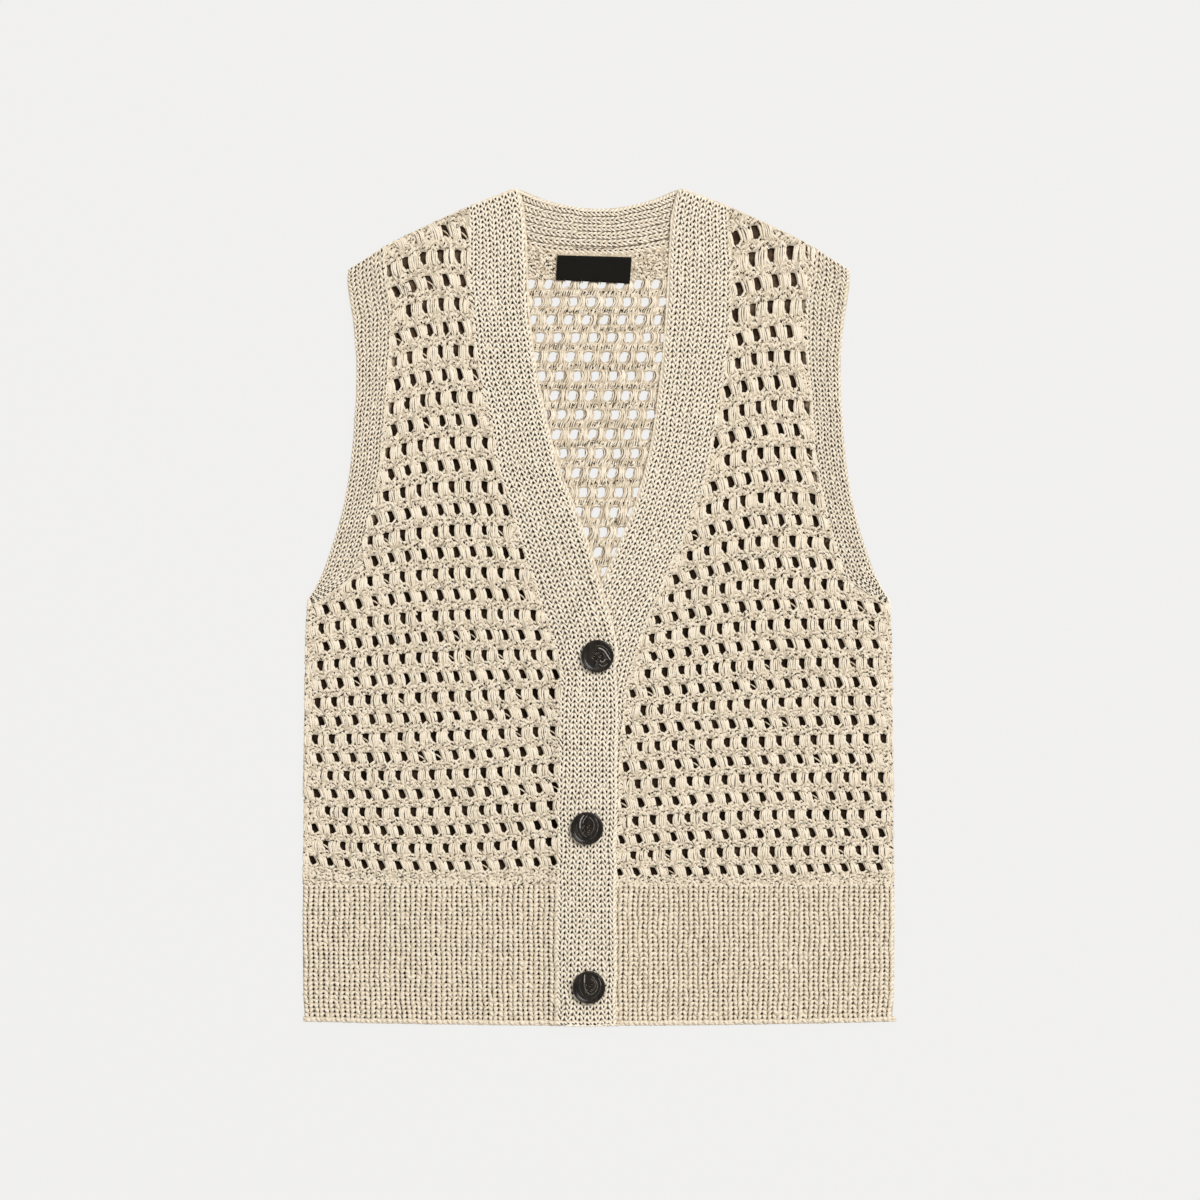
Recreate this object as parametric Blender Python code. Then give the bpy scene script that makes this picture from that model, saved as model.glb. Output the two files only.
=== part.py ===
# A knitted vest with openwork fronts, buttoned up and laid flat on its back.
# Sizes are in millimetres and the meshes in metres. While it is being laid out, a height is
# counted from the lowest point of the hem towards the neck, and x from the middle of the vest
# (the wearer's right front is at minus x). The last step puts the origin in the middle.
import bpy
import bmesh
import numpy as np
from collections import namedtuple
from math import cos, pi, radians
from mathutils import Matrix, Vector

MM = 0.001

# The cloth
CLOTH = 3.0             # a knitted wall with its ribs
GAP = 0.3               # between two pieces, beside or above each other
LAYER = CLOTH + GAP     # from one layer of cloth to the next
RISE = 0.8              # how far a rib or a row of knots stands out of the wall
RIB_PITCH = 7.05        # one column of stitches in the hem
BAND_WALES = 7          # columns of stitches across a front band or the neckband
ARM_WALES = 5           # columns of stitches across an armhole band
ROW_PITCH = 16.1        # from one row of knots to the next in the openwork
KNOT_START = 115.0      # height of the lowest row of knots
EDGE_LIP = 0.8          # what is left of the wall at a rolled side
EDGE_ROLL = 3.0         # how far in the roll of a side reaches
ROLL_STEP = 0.9         # and the column of points part way up it

# The cut
HEM_TOP = 107.0         # seam between hem and openwork
HEM_SAG = 3.0           # how much lower the hem is in the middle than at its sides
HEM_LOW = 1.5
HEM_LEVELS = (0, 6, 21, 66, HEM_TOP - GAP / 2)
FAN_START = 554.0       # above this height the rows fan out to the shoulder line
FAN_ROWS = 4
SEAM_AT_SHOULDER = 97.0     # x where the bands meet the shoulder line
ARM_AT_SHOULDER = 161.0     # x where the armhole bands meet it
BACK_RIDGES_FROM = 318.0    # the back's knots show above this height, inside the V
RAMP = 15.0             # the top front climbs onto the band below it over this width
RAMP_MARGIN = 2.5       # and is at its full height this far before that band's edge

# Label and buttons
LABEL_SIZE = (55.5, 19.8, 0.6)
LABEL_AT = (-3.4, 570.2)
LABEL_TURN = -1.3       # degrees
BUTTON_RADIUS = 12.5
BUTTON_SIDES = 32
BUTTONS = {"button_top": (-0.8, 278.9), "button_middle": (-8.7, 150.0), "button_bottom": (-7.1, 31.0)}
BUTTON_FLOOR = 2 * LAYER + CLOTH + GAP
HOLE_RADIUS = 0.9
HOLE_SPACING = 3.7
HOLE_SIDES = 10
DRILL_LENGTH = 8.0

Side = namedtuple("Side", "height x")
SIDE = [Side(*row) for row in (
    (1.5, 219.0), (6, 221.0), (21, 222.2), (66, 222.8), (107, 222.4),
    (180, 221.2), (255, 221.0), (291, 220.5), (306, 219.8))]

# The armhole band from the underarm up to the shoulder: its seam and its free edge.
Arm = namedtuple("Arm", "height x edge_height edge_x")
ARM = [Arm(*row) for row in (
    (314.5, 219.2, 320.5, 217.9),
    (325, 203.5, 329, 213.5),
    (338, 184.5, 342, 207.5),
    (362, 177.5, 361, 200.8),
    (380, 173.0, 379, 195.3),
    (403.5, 166.5, 400, 190.2),
    (429, 163.0, 425, 186.6),
    (452, 160.8, 449, 184.3),
    (475, 159.0, 474, 182.8),
    (505.5, 156.6, 504, 182.6),
    (536, 155.8, 531, 185.2),
    (553.5, 158.0, 547, 187.8),
    (570, 160.4, 560, 189.3),
    (586.5, 161.0, 568.5, 188.4))]

# The shoulder line, where front and back are joined.
Shoulder = namedtuple("Shoulder", "x height")
SHOULDER = [Shoulder(*row) for row in (
    (61, 630.5), (71.5, 627.5), (97, 617), (121, 606), (144.5, 595), (161, 586.5), (176, 579.5), (188.4, 568.5))]

# A front band from the hem up to the shoulder: its seam, its free edge, and how much higher
# the free edge is than the seam in the same course of stitches.
Band = namedtuple("Band", "height seam edge rise")
TOP_BAND = [Band(*row) for row in (
    (0, -30.4, 13.9, 0),
    (107, -30.4, 14.0, 0),
    (180, -29.8, 14.6, 0),
    (240, -28.6, 15.4, 0),
    (265, -28.1, 15.2, 1),
    (285, -31.6, 13.4, 2),
    (302, -37.5, 9.6, 3),
    (321, -44.6, 3.9, 4),
    (352, -53.6, -5.2, 4),
    (380, -62.3, -15.6, 5),
    (403, -69.4, -25.0, 6),
    (420, -75.2, -31.6, 6),
    (452, -80.2, -39.4, 5),
    (490, -88.9, -46.6, 3),
    (524, -93.4, -51.4, 2),
    (552, -96.2, -53.6, 4),
    (580, -96.9, -54.6, 8),
    (600, -97.0, -55.6, 12),
    (617, -97.0, -61.0, 13.5))]
UNDER_BAND = [Band(*row) for row in (
    (0, 11.6, -24.4, 0),
    (107, 11.7, -24.4, 0),
    (180, 16.1, -24.4, 0),
    (220, 17.6, -24.4, 0),
    (253, 21.4, -23.6, 0),
    (268, 24.8, -21.6, 1),
    (289, 30.4, -16.4, 3),
    (317, 41.6, -5.0, 4),
    (349.5, 55.6, 11.8, 5),
    (382, 69.0, 25.6, 6),
    (410, 78.6, 34.4, 6),
    (432, 84.0, 39.6, 5),
    (457, 88.4, 43.2, 4),
    (490.5, 93.4, 47.4, 3),
    (521, 97.6, 50.2, 2),
    (552, 99.4, 52.2, 4),
    (580, 98.6, 53.8, 8),
    (600, 97.6, 55.2, 12),
    (617, 97.0, 61.0, 13.5))]

# The back neckband from a shoulder to the middle: the neckline and the seam below it.
Neck = namedtuple("Neck", "edge_x edge_height x height")
NECK = [Neck(*row) for row in (
    (63.5, 630.5, 97.0, 617.0),
    (58, 629.5, 86.0, 603.0),
    (50, 626.2, 71.0, 592.6),
    (40, 622.2, 53.0, 586.6),
    (27, 618.6, 35.0, 583.4),
    (13, 616.1, 17.0, 581.9),
    (0, 615.4, 0.0, 581.5))]


def refined(rows, extra):
    # A smooth curve through a table's rows, in all its columns, with extra rows in between.
    kind = type(rows[0])
    points = np.array(rows, float)
    padded = np.vstack([2 * points[0] - points[1], points, 2 * points[-1] - points[-2]])
    fine = []
    for k in range(len(points) - 1):
        before, start, end, after = padded[k:k + 4]
        for step in range(extra + 1):
            t = step / (extra + 1)
            fine.append(0.5 * (2 * start + (end - before) * t
                               + (2 * before - 5 * start + 4 * end - after) * t ** 2
                               + (3 * start - before - 3 * end + after) * t ** 3))
    fine.append(points[-1])
    return [kind(*row) for row in fine]


def column(rows, name):
    return [getattr(row, name) for row in rows]


def smooth_step(value):
    value = min(max(value, 0.0), 1.0)
    return value * value * (3 - 2 * value)


def mix(a, b, share):
    return a + (b - a) * share


arm_rows = refined(ARM, 1)
top_rows = refined(TOP_BAND, 1)
under_rows = refined(UNDER_BAND, 1)
neck_half = refined(NECK, 1)
side_rows = SIDE + [Side(row.height, row.x) for row in arm_rows]
neck_rows = ([Neck(-row.edge_x, row.edge_height, -row.x, row.height) for row in neck_half[:-1]]
             + neck_half[::-1])


def side_x(height):
    return float(np.interp(height, column(side_rows, "height"), column(side_rows, "x")))


def shoulder_height(x):
    return float(np.interp(abs(x), column(SHOULDER, "x"), column(SHOULDER, "height")))


def back_top(x):
    if abs(x) >= SEAM_AT_SHOULDER:
        return shoulder_height(x)
    return float(np.interp(x, column(neck_rows, "x"), column(neck_rows, "height")))


def hem_edge(x):
    return HEM_LOW + HEM_SAG * (x / SIDE[-1].x) ** 2


def band_seam(rows, height):
    return float(np.interp(height, column(rows, "height"), column(rows, "seam")))


def climb(x, height):
    # How far the top front is raised by the band that lies under it.
    edge_heights = [row.height + row.rise for row in under_rows]
    edge = float(np.interp(height, edge_heights, column(under_rows, "edge")))
    return LAYER * smooth_step((x - edge + RAMP_MARGIN + RAMP) / RAMP)


def knots(height):
    # 1 on a row of knots of the openwork, 0 in the row of holes between two of them.
    return 0.5 + 0.5 * cos(2 * pi * (height - KNOT_START) / ROW_PITCH)


def rolled(inset):
    # The wall's share of its thickness near a side that rolls round to the other layer.
    if inset >= EDGE_ROLL:
        return 1.0
    return (1 - (1 - inset / EDGE_ROLL) ** 2) ** 0.5


def material(name, colour, roughness):
    mat = bpy.data.materials.new(name)
    mat.use_nodes = True
    shader = mat.node_tree.nodes["Principled BSDF"]
    shader.inputs["Base Color"].default_value = (*colour, 1)
    shader.inputs["Roughness"].default_value = roughness
    return mat


def add_object(bm, name, mat):
    mesh = bpy.data.meshes.new(name)
    bm.to_mesh(mesh)
    bm.free()
    mesh.materials.append(mat)
    obj = bpy.data.objects.new(name, mesh)
    bpy.context.collection.objects.link(obj)
    return obj


def wall(name, mat, grid):
    # A wall of cloth. The grid's rows hold points (x, height, underside, top side).
    bm = bmesh.new()
    over = [[bm.verts.new((x * MM, y * MM, top * MM)) for x, y, low, top in row] for row in grid]
    under = [[bm.verts.new((x * MM, y * MM, low * MM)) for x, y, low, top in row] for row in grid]
    rows, columns = len(grid), len(grid[0])
    for r in range(rows - 1):
        for c in range(columns - 1):
            bm.faces.new((over[r][c], over[r][c + 1], over[r + 1][c + 1], over[r + 1][c]))
            bm.faces.new((under[r][c], under[r + 1][c], under[r + 1][c + 1], under[r][c + 1]))
    rim = ([(0, c) for c in range(columns - 1)] + [(r, columns - 1) for r in range(rows - 1)]
           + [(rows - 1, c) for c in range(columns - 1, 0, -1)] + [(r, 0) for r in range(rows - 1, 0, -1)])
    for (r, c), (r2, c2) in zip(rim, rim[1:] + rim[:1]):
        bm.faces.new((over[r][c], under[r][c], under[r2][c2], over[r2][c2]))
    bmesh.ops.recalc_face_normals(bm, faces=bm.faces)
    below = {v for row in under for v in row}
    flat_edges = [e for e in bm.edges if e.verts[0] in below and e.verts[1] in below]
    bmesh.ops.dissolve_limit(bm, angle_limit=radians(0.1), verts=list(below), edges=flat_edges)
    return add_object(bm, name, mat)


def fan(level, x_share, top_at):
    # The height of a row: level up to the fan, and then spread towards the shoulder line.
    if level <= FAN_START:
        return level
    return mix(FAN_START, top_at(x_share), (level - FAN_START) / (FAN_ROWS * ROW_PITCH / 2))


def panel_levels(bottom, ridges_from):
    # The rows of a panel: its side's stations, and between them the tops and foots of its knots.
    levels = [bottom] + [row.height for row in side_rows if bottom < row.height < FAN_START]
    first = int((ridges_from - KNOT_START) / (ROW_PITCH / 2)) + 1
    level = KNOT_START + first * ROW_PITCH / 2
    while level < FAN_START - 1:
        if min(abs(level - other) for other in levels) > 1.5:
            levels.append(level)
        level += ROW_PITCH / 2
    return sorted(levels) + [FAN_START + k * ROW_PITCH / 2 for k in range(FAN_ROWS + 1)]


def front_panel(name, mat, side, seam_rows, raised):
    # One openwork front, from its side and armhole to its band, with its rows of knots raised.
    grid = []
    for level in panel_levels(HEM_TOP + GAP / 2, HEM_TOP):
        outer = side * (side_x(level) - GAP / 2)
        inner = band_seam(seam_rows, level) + side * GAP / 2
        width = abs(inner - outer)
        insets = [0, ROLL_STEP, EDGE_ROLL] + [mix(EDGE_ROLL, width - RAMP, k / 4) for k in (1, 2, 3, 4)]
        insets += [width - RAMP * k / 4 for k in (3, 2, 1, 0)]
        row = []
        for inset in insets:
            share = inset / width
            height = fan(level, mix(ARM_AT_SHOULDER, SEAM_AT_SHOULDER, share), shoulder_height)
            far = side * (side_x(height) - GAP / 2)
            near = band_seam(seam_rows, height) + side * GAP / 2
            x = mix(far, near, share)
            low = LAYER + (climb(x, height) if raised else 0)
            full = CLOTH - RISE + RISE * knots(level)
            if level < ARM[0].height:
                full = EDGE_LIP + (full - EDGE_LIP) * rolled(inset)
            row.append((x, height, low, low + full))
        grid.append(row)
    return wall(name, mat, grid)


def back_panel(name, mat):
    # The whole openwork back, flat below, with knots raised on the side that shows in the V.
    tops = [row.x for row in neck_rows]
    step = (ARM_AT_SHOULDER - SEAM_AT_SHOULDER) / 3
    wings = [SEAM_AT_SHOULDER + step, SEAM_AT_SHOULDER + 2 * step]
    shares = np.array([-x for x in wings[::-1]] + tops + wings) / ARM_AT_SHOULDER
    grid = []
    for level in panel_levels(HEM_TOP + GAP / 2, BACK_RIDGES_FROM):
        wide = side_x(level) - GAP / 2
        edge = [1, 1 - ROLL_STEP / wide, 1 - EDGE_ROLL / wide]
        row = []
        for share in [-e for e in edge] + list(shares) + edge[::-1]:
            height = fan(level, share * ARM_AT_SHOULDER, back_top)
            if level > FAN_START + 1:
                height -= GAP * (level - FAN_START) / (FAN_ROWS * ROW_PITCH)
            x = share * (side_x(height) - GAP / 2)
            low, top = 0, CLOTH
            if level > BACK_RIDGES_FROM:
                top = CLOTH - RISE + RISE * knots(level)
            if level < ARM[0].height:
                low = (CLOTH - EDGE_LIP) * (1 - rolled((1 - abs(share)) * wide))
            row.append((x, height, low, top))
        grid.append(row)
    return wall(name, mat, grid)


def front_hem(name, mat, side, seam_rows, raised):
    # The rib strip below a front. Its columns of stitches are raised ribs.
    ribs = round(abs(side * side_x(HEM_TOP) - band_seam(seam_rows, HEM_TOP)) / RIB_PITCH)
    grid = []
    for level in HEM_LEVELS:
        inner = band_seam(seam_rows, level) + side * GAP / 2
        outer = side * side_x(max(level, hem_edge(SIDE[0].x)))
        width = abs(inner - outer)
        insets = [0, ROLL_STEP] + [mix(EDGE_ROLL, width, k / (2 * ribs)) for k in range(2 * ribs + 1)]
        row = []
        for number, inset in enumerate(insets):
            x = outer - side * inset
            height = max(level, hem_edge(x))
            low = LAYER + (climb(x, height) if raised else 0)
            full = CLOTH if number % 2 else CLOTH - RISE
            full = EDGE_LIP + (full - EDGE_LIP) * rolled(inset)
            row.append((x, height, low, low + full))
        grid.append(row)
    return wall(name, mat, grid)


def back_hem(name, mat):
    # The rib strip below the back. It rests on its outer side, and its inner side is plain.
    grid = []
    for level in HEM_LEVELS:
        wide = side_x(max(level, hem_edge(SIDE[0].x)))
        edge = [wide, wide - ROLL_STEP, wide - EDGE_ROLL]
        across = [wide * k / 5 for k in range(-4, 5)]
        row = []
        for x in [-e for e in edge] + across + edge[::-1]:
            low = (CLOTH - EDGE_LIP) * (1 - rolled(wide - abs(x)))
            row.append((x, max(level, hem_edge(x)), low, CLOTH))
        grid.append(row)
    return wall(name, mat, grid)


def front_band(name, mat, side, rows, raised):
    # A front band from the hem to the shoulder, with its columns of stitches raised.
    grid = []
    for band in rows:
        row = []
        for k in range(2 * BAND_WALES + 1):
            share = k / (2 * BAND_WALES)
            x = mix(band.seam - side * GAP / 2, band.edge, share)
            height = max(band.height + band.rise * share, hem_edge(x))
            low = LAYER + (climb(x, height) if raised else 0)
            row.append((x, height, low, low + CLOTH - RISE * (1 - k % 2)))
        grid.append(row)
    return wall(name, mat, grid)


def neckband(name, mat):
    # The strip round the back neck. Its inner side shows, with the columns along it raised.
    grid = []
    for neck in neck_rows:
        row = []
        for k in range(2 * BAND_WALES + 1):
            share = k / (2 * BAND_WALES)
            row.append((mix(neck.x, neck.edge_x, share), mix(neck.height, neck.edge_height, share) + GAP / 2,
                        0, CLOTH - RISE * (1 - k % 2)))
        grid.append(row)
    return wall(name, mat, grid)


def armhole_band(name, mat, side, floor, ribbed):
    # Half of an armhole band, front or back.
    grid = []
    for arm in arm_rows:
        row = []
        for k in range(2 * ARM_WALES + 1):
            share = k / (2 * ARM_WALES)
            x = mix(arm.x + GAP / 2, arm.edge_x, share)
            drop = RISE * (1 - k % 2) if ribbed else 0
            row.append((side * x, mix(arm.height, arm.edge_height, share) + GAP, floor, floor + CLOTH - drop))
        if ribbed:
            grid.append(row)
        else:
            grid.append(row[::ARM_WALES])
    return wall(name, mat, grid)


def label(name, mat):
    # A plain woven label that lies on the back just below the neckband.
    length, depth, thick = LABEL_SIZE
    bm = bmesh.new()
    bmesh.ops.create_cube(bm, size=1)
    bmesh.ops.scale(bm, vec=(length * MM, depth * MM, thick * MM), verts=bm.verts)
    bmesh.ops.rotate(bm, verts=bm.verts, matrix=Matrix.Rotation(radians(LABEL_TURN), 3, "Z"))
    place = Vector((*LABEL_AT, LAYER + thick / 2)) * MM
    bmesh.ops.translate(bm, vec=place, verts=bm.verts)
    return add_object(bm, name, mat)


def button(name, mat, x, y):
    # A turned button: a round rim, a groove inside it and a shallow dish with four holes.
    rim = BUTTON_RADIUS
    profile = [(0, 0), (rim - 3, 0), (rim - 0.6, 0.9), (rim, 2.0), (rim - 0.3, 3.2), (rim - 1.3, 3.9),
               (rim - 2.2, 3.3), (rim - 5, 2.9), (0, 2.8)]
    bm = bmesh.new()
    outline = [bm.verts.new((r * MM, 0, z * MM)) for r, z in profile]
    edges = [bm.edges.new(pair) for pair in zip(outline, outline[1:])]
    bmesh.ops.spin(bm, geom=outline + edges, cent=(0, 0, 0), axis=(0, 0, 1), angle=2 * pi,
                   steps=BUTTON_SIDES, use_merge=True, use_duplicate=False)
    bmesh.ops.remove_doubles(bm, verts=bm.verts, dist=0.01 * MM)
    bmesh.ops.recalc_face_normals(bm, faces=bm.faces)
    bmesh.ops.translate(bm, vec=Vector((x, y, BUTTON_FLOOR)) * MM, verts=bm.verts)
    obj = add_object(bm, name, mat)
    drills = bmesh.new()
    for across in (-1, 1):
        for up in (-1, 1):
            at = Vector((x + across * HOLE_SPACING / 2, y + up * HOLE_SPACING / 2, BUTTON_FLOOR)) * MM
            bmesh.ops.create_cone(drills, cap_ends=True, segments=HOLE_SIDES, radius1=HOLE_RADIUS * MM,
                                  radius2=HOLE_RADIUS * MM, depth=DRILL_LENGTH * MM,
                                  matrix=Matrix.Translation(at))
    tool = add_object(drills, name + "_drill", mat)
    tool.hide_render = True
    tool.display_type = "WIRE"
    cut = obj.modifiers.new("holes", "BOOLEAN")
    cut.operation = "DIFFERENCE"
    cut.object = tool
    return obj


def centre(objects):
    # Moves the meshes together, so that the origin is the middle of the underside.
    corners = [v.co for obj in objects for v in obj.data.vertices]
    low = Vector([min(c[k] for c in corners) for k in range(3)])
    high = Vector([max(c[k] for c in corners) for k in range(3)])
    shift = Vector(((low.x + high.x) / 2, (low.y + high.y) / 2, low.z))
    for obj in objects:
        obj.data.transform(Matrix.Translation(-shift))


def build():
    for obj in list(bpy.data.objects):
        bpy.data.objects.remove(obj)
    knit = material("knit", (0.70, 0.60, 0.47), 0.9)
    ribbing = material("ribbing", (0.72, 0.62, 0.50), 0.9)
    tape = material("tape", (0.015, 0.014, 0.012), 0.8)
    horn = material("horn", (0.02, 0.015, 0.01), 0.35)

    back_panel("back", knit)
    back_hem("back_hem", ribbing)
    neckband("back_neckband", ribbing)
    front_panel("front_right", knit, -1, top_rows, raised=True)
    front_panel("front_left", knit, 1, under_rows, raised=False)
    front_hem("front_hem_right", ribbing, -1, top_rows, raised=True)
    front_hem("front_hem_left", ribbing, 1, under_rows, raised=False)
    front_band("front_band_right", ribbing, -1, top_rows, raised=True)
    front_band("front_band_left", ribbing, 1, under_rows, raised=False)
    for word, side in (("right", -1), ("left", 1)):
        armhole_band(f"armhole_{word}_back", ribbing, side, 0, ribbed=False)
        armhole_band(f"armhole_{word}_front", ribbing, side, LAYER, ribbed=True)
    label("label", tape)
    for name, (x, y) in BUTTONS.items():
        button(name, horn, x, y)
    centre(list(bpy.data.objects))


build()
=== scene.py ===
import bpy
import bmesh
import numpy as np
from math import cos, pi, radians, sin
from mathutils import Matrix, Vector


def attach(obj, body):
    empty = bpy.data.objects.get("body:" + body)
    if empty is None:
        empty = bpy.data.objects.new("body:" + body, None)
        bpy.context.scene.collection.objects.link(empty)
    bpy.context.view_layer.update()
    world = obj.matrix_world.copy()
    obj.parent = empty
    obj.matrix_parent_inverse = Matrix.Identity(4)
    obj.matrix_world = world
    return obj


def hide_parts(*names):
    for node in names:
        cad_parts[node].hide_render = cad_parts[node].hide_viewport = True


# A knitted vest with openwork fronts, buttoned up and laid flat on its back.
# Plan sizes are in mm: x from the middle, and height from the hem's lowest point to the neck.
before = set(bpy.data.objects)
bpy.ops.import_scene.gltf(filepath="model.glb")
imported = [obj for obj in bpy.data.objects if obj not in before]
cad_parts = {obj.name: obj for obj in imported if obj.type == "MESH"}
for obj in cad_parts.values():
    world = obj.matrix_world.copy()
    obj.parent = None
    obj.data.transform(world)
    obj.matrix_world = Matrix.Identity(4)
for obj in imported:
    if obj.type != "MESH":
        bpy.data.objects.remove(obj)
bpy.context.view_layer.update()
chance = np.random.default_rng(11)
made = {}

cloth = {
    "middle": 316.075,  # height of the frame's origin
    "layer": 3.3,  # from one layer of cloth to the next
    "thick": 3.0,
    "climbWidth": 15.0,  # the upper front climbs onto the band below it over this width
    "climbMargin": 2.5,  # and is up this far before that band's edge
    "hemTop": 107.0,
    "sideTop": 317.0,  # the sides are free edges up to here
    "shoulderLow": 585.0,
    "bandTop": 616.0,
    "halfWidth": 219.0,
    "seamLap": 0.9,  # yarn crosses a seam by this much
    "rimRoom": 0.8,  # and stays this far inside a free edge
}


def wireOf(name):
    # A solid's points in mm, and its edges.
    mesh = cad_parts[name].data
    points = np.empty(len(mesh.vertices) * 3, np.float32)
    mesh.vertices.foreach_get("co", points)
    points = points.reshape(-1, 3).astype(float) * 1000
    points[:, 1] += cloth["middle"]
    edges = np.empty(len(mesh.edges) * 2, np.int32)
    mesh.edges.foreach_get("vertices", edges)
    return points, edges.reshape(-1, 2)


def spans(name, levels, axis=1):
    # Where a solid starts and ends: across, at each height (axis 1), or up, at each x (axis 0).
    points, edges = wireOf(name)
    first, second = points[edges[:, 0]], points[edges[:, 1]]
    low, high = points[:, axis].min() + 0.02, points[:, axis].max() - 0.02
    found = []
    for level in np.clip(levels, low, high):
        crossing = (first[:, axis] - level) * (second[:, axis] - level) <= 0
        a, b = first[crossing], second[crossing]
        run = b[:, axis] - a[:, axis]
        share = (level - a[:, axis]) / np.where(abs(run) < 1e-5, 1e9, run)
        hits = a[:, 1 - axis] + (b[:, 1 - axis] - a[:, 1 - axis]) * share
        found.append((hits.min(), hits.max()))
    return np.array(found)


heights = np.linspace(1.5, 630.5, 400)
acrosses = np.linspace(-223, 223, 300)
bandSpans = {side: spans("front_band_" + side, heights) for side in ("right", "left")}


def bandEdge(side, height):
    # Where a front band has its free edge, which is towards the V and the other band.
    return np.interp(height, heights, bandSpans[side][:, 1 if side == "right" else 0])


def smoothStep(value):
    value = np.clip(value, 0, 1)
    return value * value * (3 - 2 * value)


def climb(x, height):
    # How far the upper front is raised by the band that lies under it.
    away = x - bandEdge("left", height) + cloth["climbMargin"] + cloth["climbWidth"]
    return cloth["layer"] * smoothStep(away / cloth["climbWidth"])


def floorOf(layer, x, height):
    if layer == "back":
        return 0 * x
    return cloth["layer"] + (climb(x, height) if layer == "over" else 0 * x)


# Yarn: one half-tube is rolled round many short paths of three points each.
yarn = {
    "roll": 1.8,  # how far round a path the half-tube reaches, in radians
    "taper": 0.42,  # what its ends lose of its width
    "sideShade": 0.25,  # painted shade: how much darker a strand is where it meets its neighbours
    "endShade": 0.08,  # and where it dives under them, also painted shade
    "uneven": 0.1,  # how much its width changes from strand to strand
}


def tubeShape(steps, rounds):
    # A flat grid: how far along and how far round each point is, its faces and their UVs.
    bm = bmesh.new()
    flat = bm.loops.layers.uv.new("strand")
    bmesh.ops.create_grid(bm, x_segments=steps, y_segments=rounds, size=1, calc_uvs=True)
    bm.verts.index_update()
    shape = {
        "along": np.array([(v.co.x + 1) / 2 for v in bm.verts]),
        "turn": np.array([v.co.y * yarn["roll"] for v in bm.verts]),
        "faces": np.array([[v.index for v in f.verts] for f in bm.faces]),
        "uv": np.array([[loop[flat].uv for loop in f.loops] for f in bm.faces]),
    }
    bm.free()
    return shape


fineTube = tubeShape(4, 3)
ribTube = tubeShape(3, 3)
shortTube = tubeShape(3, 2)
roughTube = tubeShape(2, 2)
flatTube = tubeShape(2, 1)


def rolled(tube, paths, widths, tones, thick=1.0, under=False, sideShade=yarn["sideShade"]):
    # Strands as points and tones, from paths of (strands, 3 points, 3); under turns them over.
    s = tube["along"][None, :, None]
    start, middle, end = paths[:, None, 0], paths[:, None, 1], paths[:, None, 2]
    spot = start * (1 - s) * (1 - 2 * s) + middle * 4 * s * (1 - s) + end * s * (2 * s - 1)
    course = start * (4 * s - 3) + middle * (4 - 8 * s) + end * (4 * s - 1)
    level = np.maximum(np.hypot(course[..., 0], course[..., 1]), 1e-6)
    bulge = np.sin(pi * tube["along"])
    fat = widths[:, None] / 2 * (1 - yarn["taper"] + yarn["taper"] * bulge)
    aside = np.sin(tube["turn"]) * fat / level
    spot[..., 0] -= course[..., 1] * aside
    spot[..., 1] += course[..., 0] * aside
    spot[..., 2] += (-1 if under else 1) * np.cos(tube["turn"]) * fat * thick
    # painted shade in the tone: darker towards the sides of a strand and towards its ends
    lowered = (1 - np.cos(tube["turn"])) / (1 - cos(yarn["roll"]))
    shade = sideShade * lowered + yarn["endShade"] * (1 - bulge)
    return tube, spot, tones[:, None] - shade[None]


def joined(sets, flip=False):
    # Copies of small grids as one list of points and one of faces; a set starts with (grid, placed points).
    points, corners, offset = [], [], 0
    for grid, spot, *others in sets:
        copies, size = spot.shape[:2]
        faces = grid["faces"][:, ::-1] if flip else grid["faces"]
        points.append(spot.reshape(-1, 3))
        corners.append((faces[None] + (np.arange(copies) * size)[:, None, None] + offset).reshape(-1, 4))
        offset += copies * size
    return np.concatenate(points), np.concatenate(corners)


def piece(name, mat, sets, flip=False):
    # One mesh of many strands, each set as rolled() gives it.
    points, corners = joined(sets, flip)
    mesh = meshOf(name, mat, points, corners, np.concatenate([tone.ravel() for tube, spot, tone in sets]))
    turned = slice(None, None, -1 if flip else 1)
    uvs = [np.tile(tube["uv"][:, turned].reshape(-1, 2), (len(spot), 1)) for tube, spot, tone in sets]
    mesh.uv_layers.new(name="strand").data.foreach_set("uv", np.concatenate(uvs).astype(np.float32).ravel())
    mesh.shade_smooth()
    settled(name, mesh)


def meshOf(name, mat, points, corners, tones):
    # A mesh of four-sided faces from arrays; points are (x, height, z) in mm.
    mesh = bpy.data.meshes.new(name)
    placed = (points - (0, cloth["middle"], 0)) * 0.001
    mesh.from_pydata(placed.tolist(), [], corners.tolist(), shade_flat=False)
    mesh.materials.append(mat)
    toned(mesh, tones)
    return mesh


# The attribute tone holds each strand's own lightness, and the painted shade laid on it.
def toned(mesh, tones):
    mesh.attributes.new("tone", "FLOAT", "POINT").data.foreach_set("value", tones.astype(np.float32))


def meshFrom(name, mat, bm):
    mesh = bpy.data.meshes.new(name)
    bm.to_mesh(mesh)
    bm.free()
    mesh.materials.append(mat)
    return mesh


def added(name, data):
    obj = bpy.data.objects.new(name, data)
    bpy.context.collection.objects.link(obj)
    return obj


def settled(name, mesh, replaces=None, thick=0.0):
    # A piece of the vest; with a thickness in mm its sheet gets two sides.
    obj = added(name, mesh)
    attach(obj, "root")
    if replaces:
        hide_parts(replaces)
    if thick:
        wall = obj.modifiers.new("wall", "SOLIDIFY")
        wall.thickness = thick * 0.001
        wall.offset = 0
    made[name] = obj
    return obj


def strandTable(*rows):
    # Strands: across and up at the start, middle and end, in hundredths of a cell, then width and lift.
    return np.array(rows) / ((100,) * 6 + (1, 1))


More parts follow.
